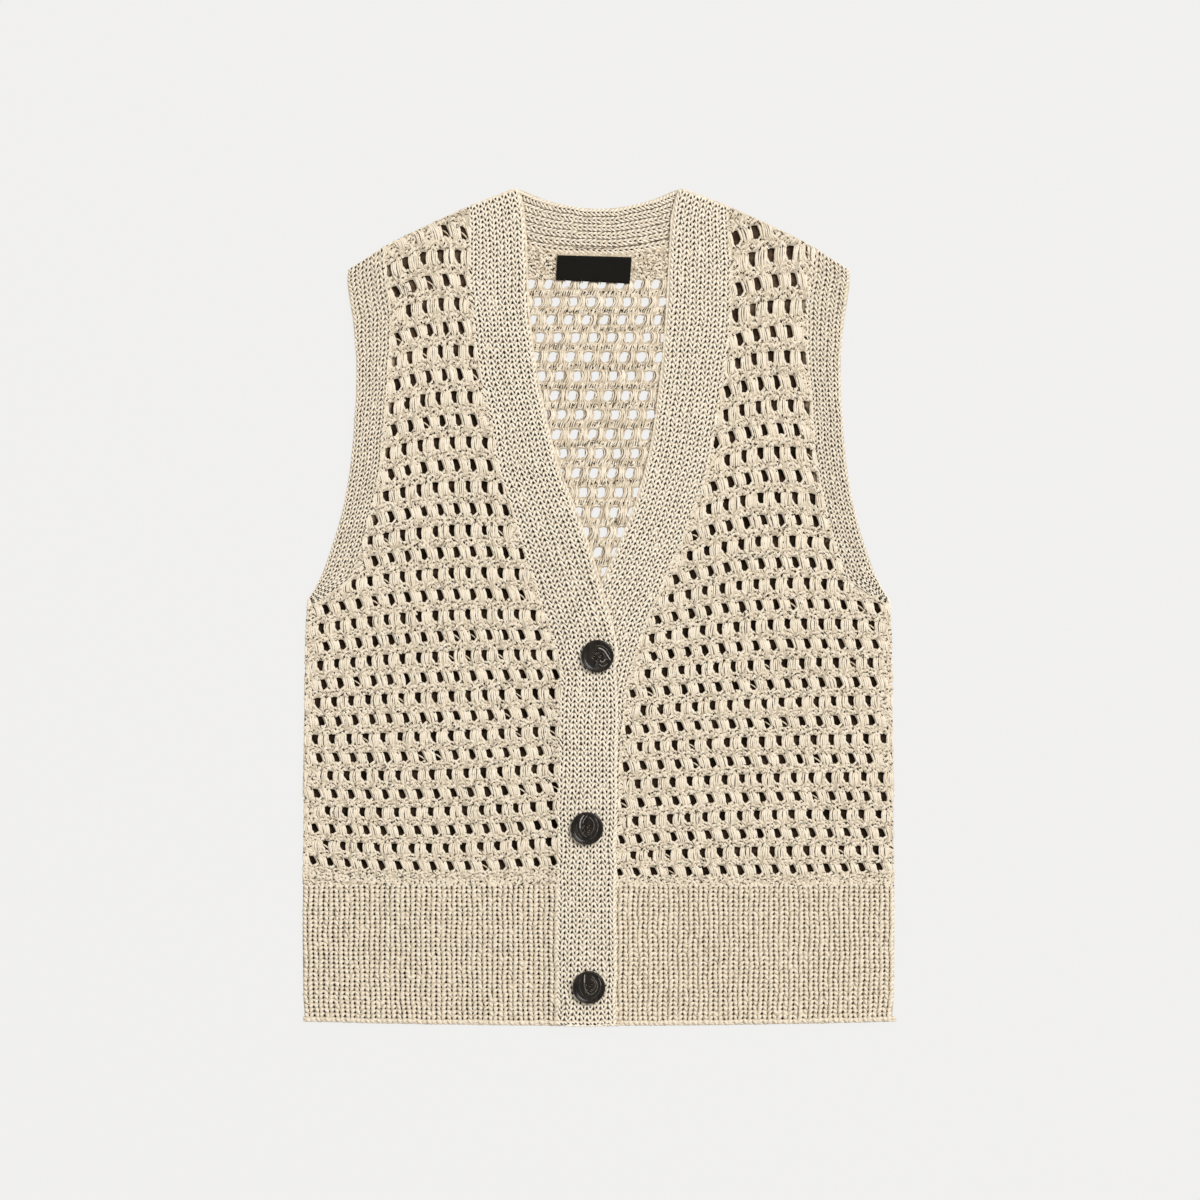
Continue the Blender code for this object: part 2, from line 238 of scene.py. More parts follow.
def copiesOf(table, count, shift, twist):
    # Copies of a table, each strand strayed a little: where across, where up, lift, width.
    size = (count, len(table), 1)
    swing = np.array((-1.0, 0.0, 1.0)) * chance.normal(0, twist, size)
    across = table[None, :, 0:6:2] + chance.normal(0, shift, size) + swing
    up = table[None, :, 1:6:2] + chance.normal(0, shift, size) - swing * 0.6
    lift = table[None, :, 7, None] - (0.8, 0.0, 0.7) + chance.normal(0, 0.13, size)
    widths = table[None, :, 6] * (1 + chance.normal(0, yarn["uneven"], size[:2]))
    return across, up, lift, widths


def runOf(line):
    # How far along a line each of its points is.
    return np.concatenate([[0], np.cumsum(np.hypot(*np.diff(line, axis=0).T))])


def edging(line, layer, length, width, lift, under=False):
    # A row of strands end to end along a line of points: the rolled rim of an edge.
    run = runOf(line)
    count = max(1, int(round(run[-1] / length)))
    places = (np.arange(count)[:, None] + (-0.12, 0.5, 1.12)) / count * run[-1]
    x = np.interp(places, run, line[:, 0])
    height = np.interp(places, run, line[:, 1]) + chance.normal(0, 0.12, places.shape)
    z = floorOf(layer, x, height) + lift - (0.35, 0.0, 0.35)
    return rolled(shortTube, np.stack([x, height, z], -1), np.full(count, width), toneOf(count), 0.8, under)


def toneOf(count, level=0.60, spread=0.06):
    # How light each strand is, from 0 for the darkest.
    return level + chance.normal(0, spread, count)


# Materials
def node(tree, kind, inputs, **settings):
    # A new node's outputs; each of its inputs gets a value or another node's output.
    new = tree.nodes.new("ShaderNode" + kind)
    for key, value in settings.items():
        setattr(new, key, value)
    for key, value in inputs.items():
        if isinstance(value, bpy.types.NodeSocket):
            tree.links.new(value, new.inputs[key])
        else:
            new.inputs[key].default_value = value
    return new.outputs


def maths(tree, operation, *values):
    return node(tree, "Math", dict(enumerate(values)), operation=operation)[0]


def placesIn(tree):
    return node(tree, "TexCoord", {})["Object"]


def noise(tree, scale, detail, places=None):
    return node(tree, "TexNoise", {0: places or placesIn(tree), 2: scale, 3: detail})[0]


def colourBy(tree, factor, colours):
    # Colours a surface by a factor; colours are (position, r, g, b).
    ramp = tree.nodes.new("ShaderNodeValToRGB")
    stops = ramp.color_ramp.elements
    while len(stops) < len(colours):
        stops.new(1.0)
    for stop, (position, *colour) in zip(stops, colours):
        stop.position = position
        stop.color = (*colour, 1)
    tree.links.new(factor, ramp.inputs[0])
    tree.links.new(ramp.outputs[0], tree.nodes["Principled BSDF"].inputs["Base Color"])


def colourByTone(tree, colours, noiseScale, noiseShare):
    # Colours by the attribute "tone", with a slow drift over the cloth.
    tone = node(tree, "Attribute", {}, attribute_name="tone")["Fac"]
    colourBy(tree, maths(tree, "MULTIPLY_ADD", noise(tree, noiseScale, 3.0), noiseShare, tone), colours)


def newMaterial(name, rough, specular, sheen=0.0):
    mat = bpy.data.materials.new(name)
    mat.use_nodes = True
    tree = mat.node_tree
    shader = tree.nodes["Principled BSDF"].inputs
    for key, value in (("Roughness", rough), ("Specular IOR Level", specular), ("Sheen Weight", sheen),
                       ("Sheen Roughness", 0.5)):
        shader[key].default_value = value
    return mat, tree


def bumpFrom(tree, height, strength, distance):
    bump = node(tree, "Bump", {"Strength": strength, "Distance": distance, "Height": height})
    tree.links.new(bump[0], tree.nodes["Principled BSDF"].inputs["Normal"])


# Colours by tone: the low stops are painted shade, the top stop a painted highlight on a strand's crown.
yarnAndShadeColours = [
    (0.0, 0.012, 0.007, 0.003),  # painted shade: the dark inside a stitch
    (0.14, 0.09, 0.058, 0.03),
    (0.34, 0.5, 0.395, 0.265),
    (0.6, 0.82, 0.715, 0.56),
    (0.92, 0.95, 0.865, 0.72),  # the crown of a strand, with a painted highlight
]


def yarnMaterial(name, plies):
    # Spun yarn, its tone painted light on its crown and darker at its sides, as painted highlight and
    # shade, with its twisted plies and fuzz in relief.
    mat, tree = newMaterial(name, 0.94, 0.14, 0.1)
    colourByTone(tree, yarnAndShadeColours, 400.0, 0.3)
    along, aside = node(tree, "SeparateXYZ", {0: node(tree, "UVMap", {}, uv_map="strand")[0]})[:2]
    slant = maths(tree, "MULTIPLY_ADD", along, plies, maths(tree, "MULTIPLY", aside, 1.1))
    wave = maths(tree, "SINE", maths(tree, "MULTIPLY", slant, 2 * pi))
    relief = maths(tree, "MULTIPLY_ADD", wave, 0.35, noise(tree, 2600.0, 2.0))
    bumpFrom(tree, relief, 0.45, 0.0004)
    return mat


def groundMaterial(name, colours, drift):
    # The ground between the strands, its tone painted darker for the shade the strands cast on it.
    mat, tree = newMaterial(name, 1.0, 0.1)
    colourByTone(tree, colours, 160.0, drift)
    bumpFrom(tree, noise(tree, 1800.0, 2.0), 0.5, 0.0005)
    return mat


knitYarn = yarnMaterial("knitYarn", 3.0)
ribYarn = yarnMaterial("ribYarn", 2.0)
# Grounds with painted shade: lightGround darkens towards its first colour; shadeGround is near black to
# brown where it stands for the shade inside the vest, under the fronts.
lightGround = groundMaterial("lightGround", [(0.15, 0.16, 0.115, 0.068), (0.9, 0.82, 0.715, 0.56)], 0.5)
shadeGround = groundMaterial("shadeGround", [(0.15, 0.01, 0.006, 0.003), (0.27, 0.05, 0.029, 0.017),
                                             (0.36, 0.14, 0.09, 0.055), (0.9, 0.72, 0.6, 0.44)], 0.42)
print("materials ready")


# Ribbed pieces: columns of V stitches on a thin ground
rib = {
    "wale": 7.55,  # width of a column of stitches in the hem
    "wales": {"band": 8, "arm": 5, "neck": 6},  # and how many columns the others have
    "course": {"hem": 3.45, "band": 4.05, "arm": 3.75, "neck": 3.65},  # height of one stitch
    "shift": 0.028,  # how far strands stray, in cells
    "twist": 0.03,
    "roll": 3.0,  # how far in a free edge is rounded
    "drop": {"back": 0.0, "front": 1.0, "over": 2.2},  # how far its outermost strands hang down
    "relief": 1.0,  # how tall a strand is for its width
    "level": 0.84,  # how light the strands of the bands are
    "hemLevel": 0.56,
    "neckLevel": 0.73,
    "armLevel": 0.7,
    # tones of the painted shade in the gaps and dots of the stitches
    "gapShadeLevel": -0.2,
    "dotShadeLevel": -0.16,
    "shallow": {"right": 0.12, "left": 0.32},  # how much lighter the painted shade in the gaps of the front hems is
    "sideShade": 0.15,  # painted shade: how much darker a strand is at its sides
    # the ground's tone, painted darker than the yarn for the shade between the stitches
    "groundTone": 0.4,
    "groundTop": 1.9,
    "gapsKept": 0.98,  # share of the stitches whose gaps get painted shade
    "gapShift": 0.012,  # how far the painted shade in the gaps strays, in cells
}
# A V stitch, and the painted shade in the gaps beside and inside it, laid as flat dark strands; their
# widths are in wales, their lifts in mm.
stitch = strandTable(
    (3, 110, 26, 50, 49, -14, 0.34, 2.3),
    (51, -12, 74, 50, 97, 112, 0.34, 2.2))
stitchGapShade = strandTable((-2, 54, 0, 28, 2, 2, 0.22, 3.4))
stitchDotShade = strandTable((48, 76, 50, 52, 52, 29, 0.19, 3.4))
# The hem's stitches stand in straight lines, with their own painted shade in the gaps; the neckband has
# painted shade as dark lines between its columns.
hemStitch = strandTable(
    (5, 104, 26, 50, 45, -8, 0.38, 2.3),
    (55, -8, 74, 50, 95, 104, 0.38, 2.2))
hemGapShade = strandTable((-1, 58, 0, 30, 1, 2, 0.17, 3.3))
hemDotShade = strandTable((49, 60, 50, 32, 51, 4, 0.15, 3.3))
neckLineShade = strandTable((-1, 104, 0, 50, 1, -4, 0.11, 3.1))
# How much higher a band's free edge is than its seam in the same course of stitches.
bandRise = np.array([(0, 0), (240, 0), (265, 1), (285, 2), (317, 4), (380, 6), (410, 6), (452, 5),
                     (490, 3), (522, 2), (552, 4), (580, 8), (600, 12), (617, 13.5)])


def stripOf(kind, seamX, seamUp, edgeX, edgeUp):
    # A strip between its seam line and its edge line, with the columns and courses that fit it.
    seam, edge = np.stack([seamX, seamUp], 1), np.stack([edgeX, edgeUp], 1)
    run = runOf((seam + edge) / 2)
    courses = int(round(run[-1] / rib["course"][kind]))
    width = np.hypot(*(edge - seam).mean(axis=0))
    return {"at": run / run[-1] * courses, "seam": seam, "edge": edge, "courses": courses, "width": width,
            "wales": rib["wales"].get(kind) or int(round(width / rib["wale"]))}


def onStrip(strip, share, along):
    along = np.clip(along, 0.02, strip["courses"] - 0.02)
    seam, edge = ([np.interp(along, strip["at"], values) for values in strip[key].T]
                  for key in ("seam", "edge"))
    return [low * (1 - share) + high * share for low, high in zip(seam, edge)]


def wavy(x, height):
    # Columns and courses of hand-laid cloth are never quite straight.
    aside = 0.30 * np.sin(height / 9.1 + x / 13.0) + 0.20 * np.sin(height / 4.3 - x / 7.7)
    upward = 0.28 * np.sin(x / 8.3 + height / 21.0) + 0.16 * np.sin(x / 3.9 - height / 11.0)
    return x + aside, height + upward


def knitted(strip, layer, table, level, spread, under=False, rollStart=False, rollEnd=True, bend=None):
    # Lays the strands of a table in each stitch of a strip.
    wales, courses = strip["wales"], strip["courses"]
    columns, rows = (values.ravel()[:, None, None] for values in
                     np.meshgrid(np.arange(wales), np.arange(-1, courses + 1)))
    u, v, lift, widths = copiesOf(table, len(rows), rib["shift"], rib["twist"])
    u, v, lift = ((values + start).reshape(-1, 3) for values, start in ((u, columns), (v, rows), (lift, 0)))
    widths = widths.ravel() * strip["width"] / wales
    shown = (v[:, 1] > -0.12) & (v[:, 1] < courses + 0.12)
    gaps = level < 0.3  # the dark tables are painted shade, flat strands in the gaps, which keep clear of the strip's ends
    if gaps:
        u = u + chance.normal(0, rib["gapShift"], (len(u), 1))
        v = v + chance.normal(0, rib["gapShift"] * 1.6, (len(v), 1))
        shown &= (u[:, 1] > 0.3) & (u[:, 1] < wales - 0.3) & (v[:, 1] > 1.2)
        shown &= chance.random(len(shown)) < rib["gapsKept"]
        widths = widths * chance.uniform(0.82, 1.12, len(widths))
    u, v, lift, widths = u[shown], v[shown], lift[shown], widths[shown]
    lap = cloth["seamLap"] / strip["width"]
    room = cloth["rimRoom"] / strip["width"]
    low, high = room if rollStart else -lap, 1 - room if rollEnd else 1 + lap
    share = low + u / wales * (high - low)
    x, height = wavy(*onStrip(strip, share, v))
    if bend:
        x, height = bend(x, height)
    inset = np.minimum(share if rollStart else 1, 1 - share if rollEnd else 1) * strip["width"]
    rounding = np.sqrt(1 - (1 - np.clip(inset / rib["roll"], 0.02, 1)) ** 2)
    floor = floorOf(layer, x, height)
    if under:
        z = floor + 1.7 - (lift - 1.15) * 0.8 * rounding
    else:
        z = floor + lift * (0.35 + 0.65 * rounding) - rib["drop"][layer] * (1 - rounding)
    paths, tones = np.stack([x, height, z], -1), toneOf(len(widths), level, spread)
    tube, thick = (flatTube, 0.3) if gaps else (roughTube, 0.5) if under else (ribTube, rib["relief"])
    return rolled(tube, paths, widths, tones, thick, under, rib["sideShade"])


def ribGroundOf(name, layer, low, high):
    # A ribbed piece's thin ground: a copy of its solid, flattened and drawn in under the stitches.
    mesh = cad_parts[name].data.copy()
    mesh.name = name + "_ground"
    bm = bmesh.new()
    bm.from_mesh(mesh)
    bmesh.ops.remove_doubles(bm, verts=bm.verts, dist=1e-6)
    bm.normal_update()
    outward = {vert: Vector((vert.normal.x, vert.normal.y, 0)) for vert in bm.verts}
    for vert in bm.verts:
        floor = float(floorOf(layer, vert.co.x * 1000, vert.co.y * 1000 + cloth["middle"]))
        share = (vert.co.z * 1000 - floor) / cloth["thick"]
        vert.co.z = (floor + low + (high - low) * share) / 1000
        vert.co -= outward[vert] * (0.002 if layer == "over" else 0.001)
    bm.to_mesh(mesh)
    bm.free()
    # its tone paints it darker than the yarn: painted shade between the stitches
    toned(mesh, np.full(len(mesh.vertices), rib["groundTone"]))
    mesh.materials.clear()
    mesh.materials.append(lightGround)
    settled(name + "_ground", mesh, replaces=name)


buttonsAt = {"top": (-0.8, 278.9), "middle": (-8.7, 150.0), "bottom": (-7.1, 31.0)}


def roundButtons(x, height):
    # The columns of stitches spread a little over each button and close in again below it.
    for middleX, middleHeight in buttonsAt.values():
        away = height - middleHeight
        reach = np.exp(-((x - middleX) / 16) ** 2) * (np.exp(-((away - 9) / 12) ** 2)
                                                      - 0.9 * np.exp(-((away + 15) / 11) ** 2))
        x = x + (x - middleX) * 0.16 * reach
    return x, height


def bandStrip(side):
    levels = np.linspace(1.6, cloth["bandTop"], 300)
    raised = levels + np.interp(levels, *bandRise.T)
    seam, edge = bandSpans[side].T if side == "right" else bandSpans[side].T[::-1]
    seamX, edgeX = np.interp(levels, heights, seam), np.interp(raised, heights, edge)
    return stripOf("band", seamX, levels, edgeX, raised)


def hemStrip(name):
    levels = np.linspace(1.6, cloth["hemTop"] + 0.6, 60)
    low, high = spans(name, np.maximum(levels, 9.0)).T
    outer, inner = (high, low) if name == "front_hem_left" else (low, high)
    return stripOf("hem", outer, levels, inner, levels)


def hemRim(x):
    # The hem's lower edge curves up a little towards the sides.
    return 1.5 + 3.0 * (x / cloth["halfWidth"]) ** 2


def hemCurve(x, height):
    low, top = hemRim(x) + 0.6, cloth["hemTop"] + 0.6
    return x, low + (height - 1.6) * (top - low) / (top - 1.6)


def finely(rows):
    # The columns of a table, with 200 even steps from its first row to its last.
    steps = np.linspace(0, len(rows) - 1, 200)
    return [np.interp(steps, np.arange(len(rows)), values) for values in rows.T]


def armStrip(side):
    sign = -1 if side == "right" else 1
    arm = np.array([  # seam height, seam x, edge height, edge x, from the underarm to the shoulder
        (314.5, 219.2, 320.5, 217.9), (325, 203.5, 329, 213.5), (338, 184.5, 342, 207.5),
        (362, 177.5, 361, 200.8), (380, 173.0, 379, 195.3), (403.5, 166.5, 400, 190.2),
        (429, 163.0, 425, 186.6), (452, 160.8, 449, 184.3), (475, 159.0, 474, 182.8),
        (505.5, 156.6, 504, 182.6), (536, 155.8, 531, 185.2), (553.5, 158.0, 547, 187.8),
        (570, 160.4, 560, 189.3), (586.5, 161.0, 568.5, 188.4)])
    seamUp, seamX, edgeUp, edgeX = finely(arm)
    return stripOf("arm", sign * seamX, seamUp, sign * edgeX, edgeUp)


def neckStrip():
    neck = np.array([  # neckline x and height, then the seam's x and height, from a shoulder inwards
        (63.5, 630.0, 97.0, 617.0), (58, 629.3, 86.0, 603.0), (50, 626.2, 71.0, 592.6),
        (40, 622.2, 53.0, 586.6), (27, 618.6, 35.0, 583.4), (13, 616.1, 17.0, 581.9),
        (0, 615.4, 0.0, 581.5)])
    rows = np.vstack([neck * (-1, 1, -1, 1), neck[-2::-1]])
    edgeX, edgeUp, seamX, seamUp = finely(rows)
    return stripOf("neck", seamX, seamUp, edgeX, edgeUp)


def shoulderOf(name, layer):
    # The rim along a piece's part of the shoulder line, a little inside the upper edge of its solid.
    inset = cloth["rimRoom"] + 0.3
    across = wireOf(name)[0][:, 0]
    xs = np.linspace(across.min() + inset, across.max() - inset, 60)
    return edging(np.stack([xs, spans(name, xs, 0)[:, 1] - inset], 1), layer, 4.2, 2.3, 1.2)


def hemEdge(name, layer, under=False):
    # The rolled lip at the hem's bottom: two cords of short strands.
    across = wireOf(name)[0][:, 0]
    xs = np.linspace(across.min() + 1.2, across.max() + (-1.2 if under else 0.6), 80)
    lip = np.stack([xs, hemRim(xs) + 1.1], 1)
    return [edging(lip, layer, 3.6, 2.5, 1.0 if under else 1.3, under),
            edging(lip + (0, 1.7), layer, 3.1, 2.6, 1.0 if under else 1.9, under)]


def ribPiece(name, layer, strip, rims, tables=(stitch, stitchGapShade, stitchDotShade), level=rib["level"],
             shallow=0.0, **options):
    # A ground with its stitches, and the painted shade in their gaps, which shallow lightens.
    under = options.get("under", False)
    ribGroundOf(name, layer, *((0.9, 2.6) if under else (0.2, rib["groundTop"])))
    tones = ((level, 0.035), (rib["gapShadeLevel"] + shallow, 0.05), (rib["dotShadeLevel"] + shallow, 0.05))
    sets = [knitted(strip, layer, table, *tone, **options) for table, tone in zip(tables, tones)]
    piece(name + "_stitches", ribYarn, sets + rims, flip=under)


for side, layer in (("right", "over"), ("left", "front")):
    name = "front_band_" + side
    ribPiece(name, layer, bandStrip(side), [shoulderOf(name, layer)] + hemEdge(name, layer),
             bend=roundButtons if side == "right" else None)
    name = "front_hem_" + side
    ribPiece(name, layer, hemStrip(name), hemEdge(name, layer), (hemStitch, hemGapShade, hemDotShade),
             rib["hemLevel"], rib["shallow"][side], rollStart=True, rollEnd=False, bend=hemCurve)
    ribPiece(f"armhole_{side}_front", "front", armStrip(side), [], level=rib["armLevel"])
    ribPiece(f"armhole_{side}_back", "back", armStrip(side), [], under=True)
neckSeam = np.array([(-72.0, 597.0), (-43.9, 589.5), (-15.4, 585.5), (8.6, 585.0), (38.6, 589.7),
                     (72.0, 598.0)])
seamLine = edging(neckSeam, "back", 3.1, 0.75, 3.0)
seamLine[2][...] = 0.08 + chance.normal(0, 0.12, seamLine[2].shape[:1])[:, None]
ribPiece("back_neckband", "back", neckStrip(), [seamLine], (stitch, neckLineShade, stitchDotShade),
         rib["neckLevel"], 0.05)
ribPiece("back_hem", "back", hemStrip("back_hem"), hemEdge("back_hem", "back", True),
         under=True, rollStart=True, rollEnd=True, bend=hemCurve)
print("ribbed pieces knitted")


# Openwork: rows of holes with leaning or upright loops between them, and a band of knots above each
net = {
    "thick": 1.5,  # thickness of the ground
    "level": 1.3,  # how high its middle lies
    "shift": 0.014,  # how far strands stray, in cells
    "twist": 0.022,
    "wander": 0.03,  # how far a whole curl strays
    "crossed": 0.07,  # share of the holes that a loose strand crosses
    "sideColumn": 9.4,  # where a front's free side is, in columns
    "lastRow": 30,  # the fronts' last row of holes
    "holeRoom": {"side": 7.0, "armhole": 0.9, "seam": 2.2, "top": 7.0},  # from a hole's middle to each edge
    "knots": ((0.08, 0.55), (0.58, 0.45)),  # where the curls are in a cell
    "plainKnots": ((0.25, 0.02), (0.75, -0.02)),  # and where there are no holes
}
# How painted shade is laid: flat dark strands in the gaps, and thin dark lines between strands.
gapShadeLook = {"tube": flatTube, "thick": 0.3, "level": -0.2, "spread": 0.14}
lineShadeLook = {"tube": flatTube, "thick": 0.3, "level": 0.15, "spread": 0.10}
# The strands of a leaf of loops, with widths and lifts in mm.
leaningLoops = strandTable(
    (20, 36, 28, 7, 40, -29, 1.8, 2.4),
    (30, 37, 40, 6, 52, -33, 1.9, 2.7),
    (41, 37, 52, 5, 63, -33, 1.9, 2.8),
    (52, 37, 62, 4, 72, -31, 1.9, 2.8),
    (63, 37, 71, 4, 80, -29, 1.9, 2.7),
    (73, 34, 79, 4, 87, -30, 1.8, 2.5),
    (80, -10, 89, -28, 101, -40, 2.0, 2.4),
    (33, -12, 20, -27, 5, -41, 1.9, 2.4))
uprightLoops = strandTable(
    (26, 34, 25, 1, 27, -37, 1.8, 2.4),
    (36, 37, 32, 2, 37, -36, 1.9, 2.7),
    (46, 37, 44, 2, 46, -36, 1.9, 2.8),
    (56, 37, 58, 3, 56, -35, 1.9, 2.8),
    (66, 37, 70, 4, 66, -33, 1.9, 2.7),
    (75, 34, 80, 6, 77, -27, 1.8, 2.5),
    (80, -4, 90, -18, 100, -38, 2.0, 2.4))
# Painted shade: dark flat strands in the gaps between the strands of a leaf.
leaningGapShade = strandTable(
    (39, 21, 46, 10, 52, -1, 0.8, 3.4),
    (56, 31, 61, 25, 65, 18, 0.8, 3.3),
    (30, -14, 37, -21, 43, -28, 0.75, 3.3))
uprightGapShade = strandTable(
    (39, 42, 43, 36, 46, 29, 0.85, 3.4),
    (64, 42, 61, 36, 57, 29, 0.85, 3.4),
    (50, 8, 49, -1, 50, -10, 0.7, 3.4))
# Painted shade: thin dark lines between the strands of a leaf.
leaningLineShade = strandTable(
    (26, 30, 34, 7, 46, -25, 0.5, 3.1),
    (36, 31, 46, 6, 57, -27, 0.5, 3.3),
    (47, 31, 57, 5, 67, -27, 0.5, 3.3),
    (58, 30, 67, 4, 76, -25, 0.5, 3.2),
    (68, 29, 75, 4, 83, -24, 0.5, 3.0),
    (35, -20, 24, -28, 12, -36, 0.45, 3.0))
uprightLineShade = strandTable(
    (31, 29, 29, 2, 32, -30, 0.5, 3.1),
    (41, 31, 38, 2, 41, -30, 0.5, 3.3),
    (51, 31, 51, 3, 51, -30, 0.5, 3.3),
    (61, 31, 64, 4, 61, -28, 0.5, 3.3),
    (71, 29, 75, 5, 71, -24, 0.5, 3.0))
# Painted shade: thin dark lines between the curls of a knot.
knotLineShade = strandTable(
    (-19, 3, -11, 8, -3, 2, 0.5, 3.5),
    (2, 7, 10, 4, 17, -5, 0.5, 3.5),
    (-12, -11, -4, -5, 4, -9, 0.5, 3.5),
    (-22, 21, -10, 25, 2, 20, 0.5, 3.3),
    (8, -22, 15, -15, 24, -14, 0.5, 3.3))
# A curl of yarn about its own middle, and the painted shade of the dark dot in it.
curl = strandTable(
    (-26, 8, -14, 19, -1, 8, 2.2, 3.0),
    (-25, -10, -13, 1, -3, -14, 2.2, 3.1),
    (0, 19, 12, 13, 23, -2, 2.2, 3.1),
    (-1, -1, 9, -5, 17, -21, 2.2, 3.0),
    (-14, -22, 0, -13, 12, 3, 2.1, 3.2))
curlDotShade = strandTable((-3, 6, -1, 0, 1, -6, 1.15, 3.5))
# Painted shade: small dark marks between the curls.
speckShade = strandTable(
    (-20, 16, -18, 12, -17, 8, 0.95, 3.6),
    (22, 16, 21, 12, 19, 8, 0.95, 3.6),
    (-24, -10, -22, -14, -19, -18, 0.85, 3.5),
    (24, -13, 22, -17, 19, -21, 0.85, 3.5))
# How the height of a row grows: powers of its number down, and powers of the place across.
rowShape = {
    "right": np.array([(120.93, 396.86, 94.3, -33.81, 18.4), (-0.24, -33.39, 129.27, -241.82, 140.09),
                       (5.47, -20.77, 33.21, -134.35, 52.59)]),
    "left": np.array([(118.28, 406.63, -2.7, 101.49, -26.89), (2.04, 4.26, 3.01, 26.99, -12.86),
                      (0.35, -66.55, 496.11, -1217.09, 767.42)]),
}
# Row number, width of a cell, and how far its columns lie from x = 100, in cells.
columnShape = {
    "right": np.array([(0, 12.9, 0.12), (8, 12.7, 0.48), (12, 12.2, 0.45), (20, 12.3, 0.47),
                       (25, 11.5, 0.67), (28, 12.4, 0.84), (31, 14.4, 0.95)]),
    "left": np.array([(0, 13.0, 0.49), (8, 13.05, 1.02), (14, 12.65, 1.61), (19, 13.0, 1.9),
                      (22, 12.1, 2.0), (26, 12.4, 1.48), (28, 13.5, 1.42), (31, 15.2, 1.13)]),
}
oddShift = {"right": -0.33, "left": -0.28}


def frontWarp(side):
    # Takes (column, row) of a front's net to (x, height).
    sign = -1 if side == "right" else 1
    numbers, sizes, shifts = columnShape[side].T
    whole = np.arange(-2, 36)
    own = np.interp(whole, numbers, shifts) + np.where(whole % 2, oddShift[side], 0)

    def warp(column, row):
        x = sign * 100 + (column + stepped(row, whole, own)) * np.interp(row, numbers, sizes)
        t, across = row / 30, (sign * x - 120) / 100
        parts = np.tensordot(rowShape[side], np.stack([t ** power for power in range(5)]), (1, 0))
        return x, parts[0] + parts[1] * across + parts[2] * across ** 2

    return warp


def stepped(row, numbers, offsets):
    # An offset that holds over most of each row, and changes between the rows.
    return np.interp(row, np.stack([numbers - 0.27, numbers + 0.27], 1).ravel(), np.repeat(offsets, 2))


def outlineOf(name, seams):
    # A panel's sides and top. Seams says which of its two sides is a seam from the hem up.
    levels = np.linspace(cloth["hemTop"] + 0.3, cloth["bandTop"], 400)
    sides = spans(name, levels)
    shoulder = levels > cloth["shoulderLow"]
    for number in (0, 1):
        if not seams[number]:
            sides[shoulder, number] = sides[~shoulder, number][-1]
    free = levels < cloth["sideTop"]
    # beyond the ends of the shoulder only the sides bound the panel
    shoulderX = np.clip(acrosses, sides[~shoulder][-1, 0] + 0.5, sides[~shoulder][-1, 1] - 0.5)
    rooms = [np.where(free & (not seam), -cloth["rimRoom"], cloth["seamLap"]) for seam in seams]
    return {"levels": levels, "sides": sides.T, "rooms": rooms, "tops": spans(name, shoulderX, 0)[:, 1]}


def sidesAt(outline, height, margin=0.0):
    # margin 1 lets yarn cross a seam a little, and keeps it inside a free edge
    low, high, lowRoom, highRoom = (np.interp(height, outline["levels"], values)
                                    for values in (*outline["sides"], *outline["rooms"]))
    return low - lowRoom * margin, high + highRoom * margin


def topAt(outline, x):
    return np.interp(x, acrosses, outline["tops"])


def fitted(outline, x, height):
    # Keeps yarn within a panel.
    height = np.maximum(height, cloth["hemTop"] - 0.4)
    x = np.clip(x, *sidesAt(outline, height, 1.0))
    return x, np.minimum(height, topAt(outline, x) - cloth["rimRoom"])


def laidOut(panel, table, spots, around=None, kept=1.0, tube=fineTube, level=0.6, spread=0.06, thick=0.9,
            under=False):
    # The strands of a table in each cell, warped onto a panel; those outside it are left out.
    # Around a point of the cell they keep their own shape, and stray together.
    columns, rows = spots[:, :, None, None]
    u, v, lift, widths = copiesOf(table, len(rows), net["shift"], net["twist"])
    warp = panel["warp"]
    if around:
        atU = columns + around[0] + chance.normal(0, net["wander"], rows.shape)
        atV = rows + around[1] + chance.normal(0, net["wander"], rows.shape)
        x, height = warp(atU, atV)
        rightX, rightUp = warp(atU + 1, atV)
        upUp = warp(atU, atV + 1)[1]
        x = x + u * (rightX - x)
        height = height + v * (upUp - height) + u * (rightUp - height)
    else:
        x, height = warp(columns + u, rows + v)
    x, height, lift = (values.reshape(-1, 3) for values in (x, height, lift))
    fitX, fitUp = fitted(panel["outline"], x, height)
    keep = np.hypot(x - fitX, height - fitUp)[:, 1] < 0.7
    if kept < 1:
        keep &= chance.random(len(keep)) < kept
    z = panel["floor"](fitX, fitUp) + lift * panel["squash"]
    paths = np.stack([fitX, fitUp, z], -1)[keep]
    return rolled(tube, paths, widths.ravel()[keep], toneOf(len(paths), level, spread), thick, under)


def netCell(hole):
    # One cell of the ground: a grid of 4 by 4 whose middle is an opening.
    bm = bmesh.new()
    bmesh.ops.create_grid(bm, x_segments=4, y_segments=4, size=0.5)
    moved = dict(zip(holeCorners, hole))
    for vert in bm.verts:
        x, y = moved.get((round(vert.co.x * 4), round(vert.co.y * 4)), vert.co.xy * 100)
        vert.co.x, vert.co.y = x / 100, y / 100
    if hole:
        centre = [v for v in bm.verts if v.co.length < 0.02]
        bmesh.ops.delete(bm, geom=centre, context="VERTS")
    bm.verts.index_update()
    cell = {"points": np.array([v.co for v in bm.verts]),
            "faces": np.array([[v.index for v in f.verts] for f in bm.faces])}
    bm.free()
    return cell


